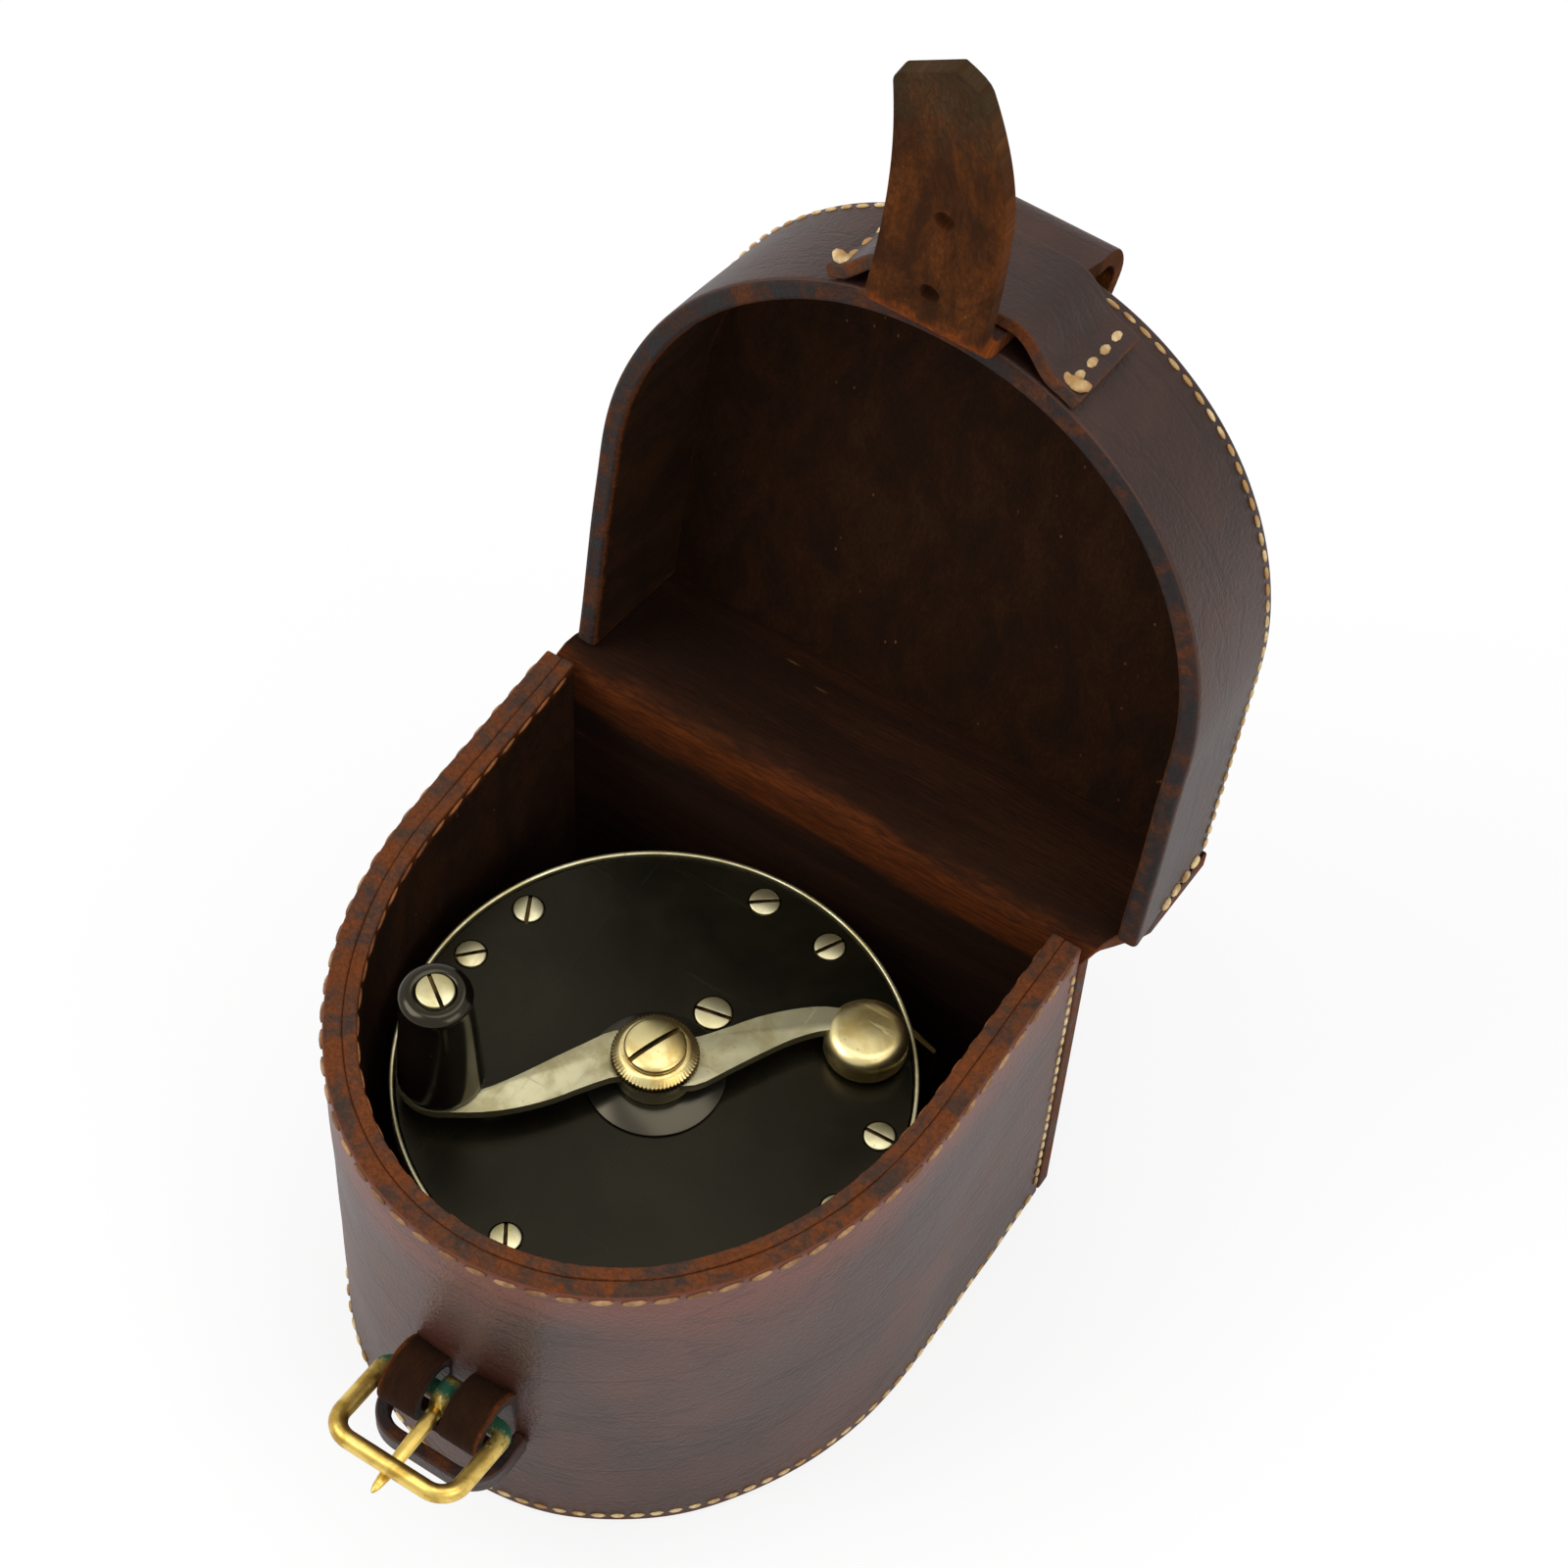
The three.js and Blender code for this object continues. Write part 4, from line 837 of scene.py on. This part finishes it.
def makeStrap(spec, lid, loop):
    path, foldStart, tailStart = strapLine(spec, lid, loop)
    size = (spec.width, pathLength(path))

    def place(u, v):
        point = pathPoint(path, v)
        left, right = strapEdges(spec, v - tailStart)
        back = clamped((foldStart - v) / lid.height)
        across = u / spec.width
        aside = left + (right - left) * across + spec.skew * back ** 3
        drop = spec.tipSlope * fade(size[1] - v, spec.taperLength) ** 2 * (1 - across)
        return Vector((lid.creep + aside, point.x, point.y - drop))

    def wear(u, v):
        fold = fade(abs(v - (foldStart + tailStart) / 2), spec.foldWear)
        return max(fold, edgeWear(size, spec.edgeWear)(u, v) * 0.45)

    bm = sheetMesh(size, spec.cell, place, wear, True,
                   stain=lambda u, v: fade(size[1] - v, spec.tipStain))
    for height in spec.holes:
        middle = place(spec.width / 2, tailStart + height)
        inside = [f for f in bm.faces if (f.calc_center_median() - middle).length < spec.holeRadius]
        bmesh.ops.delete(bm, geom=inside, context="FACES")
        for vert in bm.verts:
            away = vert.co - middle
            if vert.is_boundary and away.length < spec.holeRadius * 1.9:
                vert.co = middle + away.normalized() * spec.holeRadius
    line = [Vector((0, *pathPoint(path, reach))) for reach in (foldStart, tailStart)]
    leatherPiece("strapLeather", bm, ("lid", "flesh", "flesh"), ("lid", "strap", *line),
                 ["strap_base", "strap_fold", "strap_tail"], spec.thickness, spec.rounding,
                 offset=0.0, even=False)


makeStrap(strapShape, lidShape, bridgeShape)
print("loop and strap made")


# Buckle: chape, keeper, frame and prong
buckleShape = Shape(
    inMm(aside=1.5, barY=-71.2, barZ=42.0, reach=17.0, halfWidth=12.05, wire=1.65, barCorner=2.1, nearCorner=4.2,
         chapeWidth=20.2, chapeLeather=2.1, chapeLength=11, chapeFoot=4.7, chapeRounding=0.5, chapeWear=2,
         chapeCell=0.7, slitHalf=2.1, prongLength=20.8, prongWidth=3.0, prongThickness=2.0, prongEye=1.35,
         crustReach=5.0, keeperAside=0.6, keeperHalfWidth=12.9, keeperStand=11.5, keeperLow=25.4,
         keeperHeight=4.6, keeperThickness=2.6, keeperCorner=7.0, keeperRounding=0.7, keeperWear=1.5,
         keeperCell=0.8, seam=0.3),
    tilt=11.5,
    chapeTuck=72,  # degrees past level to which the fold reaches under the bar
    # Share of the prong's length and of its width
    prongWidths=((0, 0.86), (0.12, 0.94), (0.55, 0.86), (0.8, 0.74), (0.93, 0.5), (0.985, 0.24), (1.0, 0.06)),
)


def makeChape(spec, wall):
    # One strip, folded over the bar
    nose = spec.wire + spec.seam + spec.chapeLeather
    bar = (spec.barY, spec.barZ)
    low = spec.barZ - spec.chapeLength
    footY = -wall.frontDepth - spec.chapeFoot
    points = [Vector((-wall.frontDepth - spec.seam, low)), Vector((bar[0] + nose, bar[1]))]
    points += arcPoints(bar, nose, 0, pi + radians(spec.chapeTuck), 30)[1:]
    points += smoothLine([points[-1], Vector((footY, bar[1] - nose * 1.15)), Vector((footY, low))], 6)[1:]
    path = makePath(points)
    size = (spec.chapeWidth, pathLength(path))

    def place(u, v):
        point = pathPoint(path, v)
        x = u - spec.chapeWidth / 2 + spec.aside
        near = fade(v, spec.chapeLength * 1.3)
        return Vector((x, point.x + (wall.frontDepth - dFront(wall, x)) * near, point.y))

    bm = sheetMesh(size, spec.chapeCell, place, edgeWear(size, spec.chapeWear), False)
    slit = [f for f in bm.faces if abs(f.calc_center_median().x - spec.aside) < spec.slitHalf
            and f.calc_center_median().z > low + spec.chapeLength * 0.28]
    bmesh.ops.delete(bm, geom=slit, context="FACES")
    leatherPiece("chapeLeather", bm, ("lid", "inner", "slate"), "case", ["buckle_chape"],
                 spec.chapeLeather, spec.chapeRounding)


def makeKeeper(spec, wall):
    corner = spec.keeperCorner
    front = -wall.frontDepth - spec.keeperStand
    x0, x1 = spec.keeperAside - spec.keeperHalfWidth, spec.keeperAside + spec.keeperHalfWidth
    path = makePath([
        Vector((x1, -dFront(wall, x1) - spec.seam)),
        *arcPoints((x1 - corner, front + corner), corner, 0, -pi / 2, 10),
        *arcPoints((x0 + corner, front + corner), corner, -pi / 2, -pi, 10),
        Vector((x0, -dFront(wall, x0) - spec.seam)),
    ])
    size = (pathLength(path), spec.keeperHeight)
    bm = sheetMesh(size, spec.keeperCell, lambda u, v: Vector((*pathPoint(path, u), spec.keeperLow + v)),
                   edgeWear(size, spec.keeperWear), True)
    leatherPiece("keeperLeather", bm, ("lid", "inner", "slate"), "case", ["buckle_keeper"],
                 spec.keeperThickness, spec.keeperRounding)


def wireMesh(name, points, cyclic=False):
    # Points are x, y, z and the wire's radius there
    curve = bpy.data.curves.new(name, "CURVE")
    curve.dimensions = "3D"
    curve.bevel_depth = 1
    curve.bevel_resolution = 6
    curve.use_fill_caps = not cyclic
    line = curve.splines.new("POLY")
    line.points.add(len(points) - 1)
    for spot, (x, y, z, radius) in zip(line.points, points):
        spot.co = (x, y, z, 1)
        spot.radius = radius
    line.use_cyclic_u = cyclic
    guide = placed(name, curve)
    bpy.context.view_layer.update()
    bm = bmesh.new()
    bm.from_mesh(evaluatedMesh(guide))
    bpy.data.objects.remove(guide)
    bmesh.ops.remove_doubles(bm, verts=bm.verts[:], dist=0.001 * mm)
    return bm


def brassPiece(name, bm, spec, turn, body, node):
    # Verdigris gathers near the bar
    layer = bm.verts.layers.float.new("wear")
    for vert in bm.verts:
        vert[layer] = fade(abs(vert.co.y), spec.crustReach)
    move(bm, Matrix.Translation((spec.aside, spec.barY, spec.barZ)) @ turned(-spec.tilt, "X") @ turn)
    bmesh.ops.recalc_face_normals(bm, faces=bm.faces[:])
    finishMesh(name, bm, [metal.brass], body, [node])


def makeBuckleFrame(spec):
    half, reach, bar, near = spec.halfWidth, spec.reach, spec.barCorner, spec.nearCorner
    line = [
        *arcPoints((half - bar, -bar), bar, 0, pi / 2, 6),
        *arcPoints((-half + bar, -bar), bar, pi / 2, pi, 6),
        *arcPoints((-half + near, -reach + near), near, pi, pi * 1.5, 10),
        *arcPoints((half - near, -reach + near), near, pi * 1.5, pi * 2, 10),
    ]
    bm = wireMesh("buckleWire", [(p.x, p.y, 0, spec.wire) for p in line], cyclic=True)
    brassPiece("buckleFrameBrass", bm, spec, Matrix(), "buckle", "buckle_frame")


def makeProng(spec):
    # Tongue with a ring round the bar
    inner = spec.wire + spec.seam
    outer = inner + spec.prongEye
    half = spec.prongWidth / 2
    start, span = inner + spec.prongEye * 0.3, spec.prongLength - inner
    bm = wireMesh("prongWire", [(0, -start - span * share, 0, half * width) for share, width in spec.prongWidths])
    bmesh.ops.scale(bm, vec=(1, 1, spec.prongThickness / spec.prongWidth), verts=bm.verts[:])
    ring = [bm.verts.new((x, radius, 0))
            for radius, x in ((inner, -half), (outer, -half), (outer, half), (inner, half))]
    edges = [bm.edges.new((ring[i], ring[(i + 1) % 4])) for i in range(4)]
    spun(bm, ring, edges, (1, 0, 0), 36)
    swing = asin((inner + spec.prongThickness / 2) / spec.reach)
    brassPiece("buckleProngBrass", bm, spec, Matrix.Rotation(swing, 4, "X"), "prong", "buckle_prong")


def spun(bm, verts, edges, axis, steps):
    bmesh.ops.spin(bm, geom=[*verts, *edges], cent=(0, 0, 0), axis=axis, dvec=(0, 0, 0), angle=2 * pi,
                   steps=steps, use_merge=True)


makeChape(buckleShape, caseShape)
makeKeeper(buckleShape, caseShape)
makeBuckleFrame(buckleShape)
makeProng(buckleShape)
print("buckle made")


# Reel: turned parts, screws and the handle
reelShape = Shape(
    inMm(plateRadius=44.9, rimWidth=0.8, rimEdge=0.22, boreRadius=3.3, bushRadius=5.3, bossRadius=12.1,
         bossSeat=0.3, bossEdge=0.25, bossSoft=0.06, bossCrown=7.6, screwOrbit=39.6, screwRadius=2.7, screwEdge=0.3,
         screwDome=0.06, slotWidth=0.7, slotDepth=0.8, slotRounding=0.07, oilOrbit=15.7, oilRadius=3.25),
    centre=Vector((1.9, -10.7, 0)) * mm, turn=-5.3, plateTop=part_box("face_plate")[1].z,
    screwAngles=(10.5, -10.5, 68, -73, 91, -92.5, 179), screwSlots=(66.8, 43.5, 8.7, 122.1, 30, 51.5, 128),
    oilAngle=0.2, oilSlot=18.3,
)
handleShape = Shape(
    inMm(aside=0.75, armRounding=0.32, collarRadius=7.5, collarTopRadius=6.0, collarBand=1.3, collarSoft=0.2,
         toothDepth=0.25, hubRadius=5.3, hubSlotLength=14, hubSlotWidth=1.0, hubSlotDepth=1.2, hubRounding=0.1,
         knobOrbit=36.0, knobBase=7.45, knobTopRadius=6.2, knobTopEdge=1.3, knobBore=2.5, knobWell=1.0,
         pinRadius=3.25, pinHead=1.2, pinRoom=0.3, weightOrbit=36.2, weightRadius=7.25, weightShoulder=2.7,
         weightCrown=0.35),
    angle=49.15, collarTeeth=66, hubSlot=118.5, hubRim=0.4, knobNeckShare=0.965, knobSlot=14.2,
)
reelPlace = Matrix.Translation(reelShape.centre) @ turned(reelShape.turn)
handlePlace = reelPlace @ turned(-handleShape.angle - reelShape.turn)
knobPlace = handlePlace @ Matrix.Translation((-handleShape.aside, -handleShape.knobOrbit, 0))


def heightsOf(node):
    low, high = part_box(node)
    return low.z, high.z


def turnedMesh(profile, steps):
    # Radius and height pairs, spun about Z
    bm = bmesh.new()
    line = [bm.verts.new((radius, 0, height)) for radius, height in profile]
    spun(bm, line, [bm.edges.new(pair) for pair in zip(line, line[1:])], (0, 0, 1), steps)
    bmesh.ops.remove_doubles(bm, verts=bm.verts[:], dist=0.0005 * mm)
    bmesh.ops.recalc_face_normals(bm, faces=bm.faces[:])
    return bm


def turnedPiece(name, profile, place, look, body, node, steps=96):
    bm = turnedMesh(profile, steps)
    move(bm, place)
    return finishMesh(name, bm, [look], body, [node])


def cutSlot(piece, place, size, top, turn):
    # Size is the slot's length, width and depth; its walls take the dark metal as painted shade in the slot
    bm = bmesh.new()
    bmesh.ops.create_cube(bm, size=1)
    bmesh.ops.scale(bm, vec=(size[0], size[1], size[2] * 2), verts=bm.verts[:])
    move(bm, place @ Matrix.Translation((0, 0, top)) @ turned(turn))
    mesh = bpy.data.meshes.new("slotCutter")
    bm.to_mesh(mesh)
    bm.free()
    mesh.materials.append(metal.grime)
    cutter = placed("slotCutter", mesh)
    slot = piece.modifiers.new("slot", "BOOLEAN")
    slot.operation = "DIFFERENCE"
    slot.material_mode = "TRANSFER"
    slot.object = cutter
    bpy.context.view_layer.update()
    done = evaluatedMesh(piece)
    piece.modifiers.clear()
    piece.data = done
    bpy.data.objects.remove(cutter)


def onOrbit(orbit, angle):
    return reelPlace @ Matrix.Translation((orbit * sin(radians(angle)), orbit * cos(radians(angle)), 0))


def slottedScrew(name, place, radius, heights, turn, node, body="reel", spec=reelShape):
    low, high = heights
    edge = spec.screwEdge
    profile = [(0, low), (radius, low), (radius, high - edge), (radius - edge * 0.3, high - edge * 0.3),
               (radius - edge, high), (0, high + spec.screwDome)]
    piece = turnedPiece(name, profile, place, metal.nickelSilver, body, node, steps=48)
    cutSlot(piece, place, (radius * 3, spec.slotWidth, spec.slotDepth), high, turn)
    roundEdges(piece, spec.slotRounding)


def makeReelFace(spec):
    outer, inner, edge = spec.plateRadius, spec.plateRadius - spec.rimWidth, spec.rimEdge
    low, top = heightsOf("face_rim")
    rim = [(inner, low), (outer, low), (outer, top - edge), (outer - edge * 0.3, top - edge * 0.3),
           (outer - edge, top), (inner + edge, top), (inner + edge * 0.3, top - edge * 0.3),
           (inner, top - edge), (inner, low)]
    turnedPiece("faceRimSilver", rim, reelPlace, metal.nickelSilver, "reel", "face_rim", steps=256)
    for i, (angle, slot) in enumerate(zip(spec.screwAngles, spec.screwSlots), 1):
        node = f"face_screw_{i}"
        slottedScrew(f"faceScrew{i}", onOrbit(spec.screwOrbit, angle), spec.screwRadius, heightsOf(node), slot,
                     node)
    slottedScrew("oilScrew", onOrbit(spec.oilOrbit, spec.oilAngle), spec.oilRadius, heightsOf("oil_screw"),
                 spec.oilSlot, "oil_screw")
    low, top = heightsOf("face_bearing")
    bore, bush, radius, crown = spec.boreRadius, spec.bushRadius, spec.bossRadius, spec.bossCrown
    seat, edge, soft = spec.plateTop + spec.bossSeat, spec.bossEdge, spec.bossSoft
    boss = [(bore, low), (bush, low), (bush, seat), (radius - soft, seat), (radius, seat + soft),
            (radius, seat + edge - soft), (radius - soft * 2, seat + edge), (crown + soft * 3, top - soft),
            (crown - soft * 3, top), (bore, top), (bore, low)]
    turnedPiece("faceBoss", boss, reelPlace, rubber.boss, "reel", "face_bearing", 128)


def makeArm(spec):
    # Merged copy of the CAD part with its edges rounded
    bm = bmesh.new()
    bm.from_mesh(frame["nodes"]["handle_arm"].data)
    bmesh.ops.remove_doubles(bm, verts=bm.verts[:], dist=0.002 * mm)
    bmesh.ops.dissolve_limit(bm, angle_limit=radians(1), verts=bm.verts[:], edges=bm.edges[:])
    piece = finishMesh("handleArmSilver", bm, [metal.arm], "spool", ["handle_arm"])
    roundEdges(piece, spec.armRounding, 3)


def makeCollar(spec):
    low, top = heightsOf("knurled_collar")
    bore, radius, upper, soft = reelShape.boreRadius, spec.collarRadius, spec.collarTopRadius, spec.collarSoft
    band = low + spec.collarBand
    steps = spec.collarTeeth * 4
    bm = turnedMesh([
        (bore, low), (radius - soft, low), (radius, low + soft), (radius, band - 0.15 * mm),
        (radius - soft, band), (radius - 0.5 * mm, band + 0.15 * mm), (upper + soft, top - soft), (upper - soft, top), (bore, top),
        (bore, low),
    ], steps)
    for vert in bm.verts:
        if hypot(*vert.co.xy) > radius - 0.25 * mm:
            step = round(atan2(vert.co.y, vert.co.x) / (2 * pi) * steps) % 4
            vert.co.xy *= 1 - spec.toothDepth / radius * (0, 0.5, 1, 0.5)[step]
    # The knurled band takes the dark metal: grime and painted shade between the teeth
    for face in bm.faces:
        middle = face.calc_center_median()
        face.material_index = int(middle.z < band and hypot(*middle.xy) > radius - spec.toothDepth * 2)
        face.smooth = not face.material_index
    move(bm, handlePlace)
    finishMesh("collarSilver", bm, [metal.golden, metal.grime], "spool", ["knurled_collar"],
               smooth=False)


def makeHub(spec):
    low, top = heightsOf("hub_screw")
    dome = [(0, low), (spec.hubRadius, low)]
    for turn in (t * pi / 24 for t in range(12)):
        share = spec.hubRim + (1 - spec.hubRim) * sin(turn)
        dome.append((spec.hubRadius * cos(turn), low + (top - low) * share))
    hub = turnedPiece("hubScrewSilver", [*dome, (0, top)], handlePlace, metal.golden, "spool", "hub_screw")
    cutSlot(hub, handlePlace, (spec.hubSlotLength, spec.hubSlotWidth, spec.hubSlotDepth), top, spec.hubSlot)
    roundEdges(hub, spec.hubRounding)


def makeCounterweight(spec):
    low, top = heightsOf("counterweight")
    radius, soft, crown = spec.weightRadius, spec.weightShoulder, spec.weightCrown
    shoulder = arcPoints((radius - soft, top - crown - soft), soft, 0, pi / 2, 12)
    profile = [(0, low), (radius - 0.6 * mm, low), (radius - 0.15 * mm, low + 0.15 * mm), (radius, low + 0.6 * mm),
               *shoulder, ((radius - soft) * 0.5, top - crown * 0.25), (0, top)]
    place = handlePlace @ Matrix.Translation((-spec.aside, spec.weightOrbit, 0))
    turnedPiece("counterweightSilver", profile, place, metal.golden, "spool", "counterweight")


def makeKnob(spec):
    low, top = heightsOf("handle_knob")
    base, crown, edge, bore = spec.knobBase, spec.knobTopRadius, spec.knobTopEdge, spec.knobBore
    neck = crown * spec.knobNeckShare
    well, floor = spec.pinRadius + spec.pinRoom, top - spec.knobWell
    side = smoothLine([Vector(p) for p in (
        (base, low + 0.5 * mm), ((base + neck) / 2, (low + top) / 2), (neck, top - edge * 2),
        (crown, top - edge), (crown - edge * 0.38, top - edge * 0.38), (crown - edge, top),
    )], 8)
    profile = [(bore, low), (base - 0.5 * mm, low), (base - 0.15 * mm, low + 0.15 * mm), *side,
               (well + 0.1 * mm, top), (well, top - 0.1 * mm), (well, floor), (bore, floor), (bore, low)]
    turnedPiece("knobRubber", profile, knobPlace, rubber.knob, "knob", "handle_knob")
    high = heightsOf("knob_pin")[1]
    slottedScrew("knobPinSilver", knobPlace, spec.pinRadius, (high - spec.pinHead, high), spec.knobSlot,
                 "knob_pin", "knob")


makeReelFace(reelShape)
makeArm(handleShape)
makeCollar(handleShape)
makeHub(handleShape)
makeCounterweight(handleShape)
makeKnob(handleShape)
print("reel face and handle made")


# Stitching
stitchShape = Shape(
    inMm(pitch=5.2, length=4.3, thick=0.9, rimThick=1.15, loopThick=1.6, knotThick=2.3, rimDrop=1.5, baseRise=2.4,
         endIn=2, cornerIn=1.7, cornerEnd=5, panelDrop=2.2, panelPitch=3.4, panelLength=2.6, loopIn=1.8,
         loopBottom=2.4, loopTop=1.5, knot=1.7, loopPitch=4.4, loopLength=3.2),
    slant=7, endRow=(9 * mm, 24 * mm),
)


def stitchRow(name, spots, look, body, thick, slant=0.0):
    # Spots hold the middle, direction, outward side and length of each stitch
    bm = bmesh.new()
    for middle, along, outward, length in spots:
        side = outward.cross(along).normalized()
        turn = Matrix((along.normalized(), side, outward.normalized())).transposed().to_4x4()
        shape = turned(slant) @ Matrix.Diagonal((length / 2, thick * 0.55, thick * 0.4, 1))
        bmesh.ops.create_uvsphere(bm, u_segments=8, v_segments=5, radius=1,
                                  matrix=Matrix.Translation(middle) @ turn @ shape)
    finishMesh(name, bm, [thread[look]], body, ())


def rowSpots(count, pointAt, length, jitter, seed):
    spots = []
    for i in range(count):
        middle, along, outward = pointAt((i + 0.5) / count)
        sway = drift(i * 0.7, seed, 0.3) * jitter
        spots.append((middle + outward.cross(along) * sway, along, outward, length * (1 + sway / (2 * mm))))
    return spots


def curvedRow(halfWidth, frontDepth, backEnd, z, pitch, length, place=lambda *spot: Vector(spot), inward=False):
    # Stitches round a D, on its outside or its inside
    path = makePath(dPoints(halfWidth, frontDepth, backEnd))
    total = pathLength(path)

    def pointAt(share):
        point, along, side = pathFrame(path, share * total)
        middle = place(*point, z)
        ahead = place(*(point + along * mm), z) - middle
        outward = place(*(point + side * mm), z) - middle
        return middle, ahead.normalized(), outward.normalized() * (-1 if inward else 1)

    return rowSpots(round(total / pitch), pointAt, length, 0.25 * mm, z)


def straightRow(start, end, outward, pitch, length):
    span = end - start
    return rowSpots(max(1, round(span.length / pitch)),
                    lambda share: (start + span * share, span.normalized(), outward), length, 0.15 * mm, start.z)


def makeCaseStitches(spec, wall):
    half, depth, end = wall.halfWidth, wall.frontDepth, wall.sideEnd - spec.endIn
    rimZ = wall.height - spec.rimDrop
    outer = curvedRow(half, depth, end, rimZ, spec.pitch, spec.length)
    stitchRow("rimStitchOuter", outer, "tan", "case", spec.rimThick, spec.slant)
    inset = half - liningHigh.x + wall.liningThickness
    inner = curvedRow(half - inset, depth - inset, end, rimZ, spec.pitch, spec.length, inward=True)
    stitchRow("rimStitchInner", inner, "amber", "case", spec.thick, spec.slant)
    low = curvedRow(half, depth, end, spec.baseRise, spec.panelPitch, spec.panelLength)
    for side in (-1, 1):
        ends = [Vector((side * half, wall.sideEnd - spec.cornerIn, z))
                for z in (spec.cornerEnd, rimZ - spec.cornerEnd)]
        low += straightRow(*ends, Vector((side, 0, 0)), spec.panelPitch, spec.panelLength)
    stitchRow("baseStitch", low, "cream", "case", spec.thick)


def makeLidStitches(spec, lid, loop):
    row = curvedRow(lid.halfWidth, lid.frontDepth, lid.wallEnd - spec.endIn, lid.height - spec.panelDrop,
                    spec.panelPitch, spec.panelLength, onLid)
    stitchRow("lidStitch", row, "cream", "lid", spec.thick)
    spots, knots = [], []
    for side in (-1, 1):
        ends = [onLid(side * lid.halfWidth, lid.wallEnd - spec.cornerIn, z) for z in spec.endRow]
        spots += straightRow(*ends, Vector((side, 0, 0)), spec.panelPitch, spec.loopLength)
    for side in (-1, 1):
        x = loop.aside + side * (loop.halfLength - spec.loopIn)
        y = -dFront(lid, x) - loop.seam - loop.thickness
        start, end = onLid(x, y, loop.low + spec.loopBottom), onLid(x, y, loop.low + loop.width - spec.loopTop)
        outward = (onLid(x, y - mm, loop.low) - onLid(x, y, loop.low)).normalized()
        spots += straightRow(start, end, outward, spec.loopPitch, spec.loopLength)
        along = (end - start).normalized()
        across = along.cross(outward).normalized()
        knots += [(start + across * lean * spec.knot, across + along * lean, outward, spec.knot * 2.4)
                  for lean in (-0.7, 0.0, 0.7)]
    stitchRow("loopStitch", spots, "cream", "lid", spec.loopThick)
    stitchRow("loopKnots", knots, "cream", "lid", spec.knotThick)


makeCaseStitches(stitchShape, caseShape)
makeLidStitches(stitchShape, lidShape, bridgeShape)
print("stitching made")
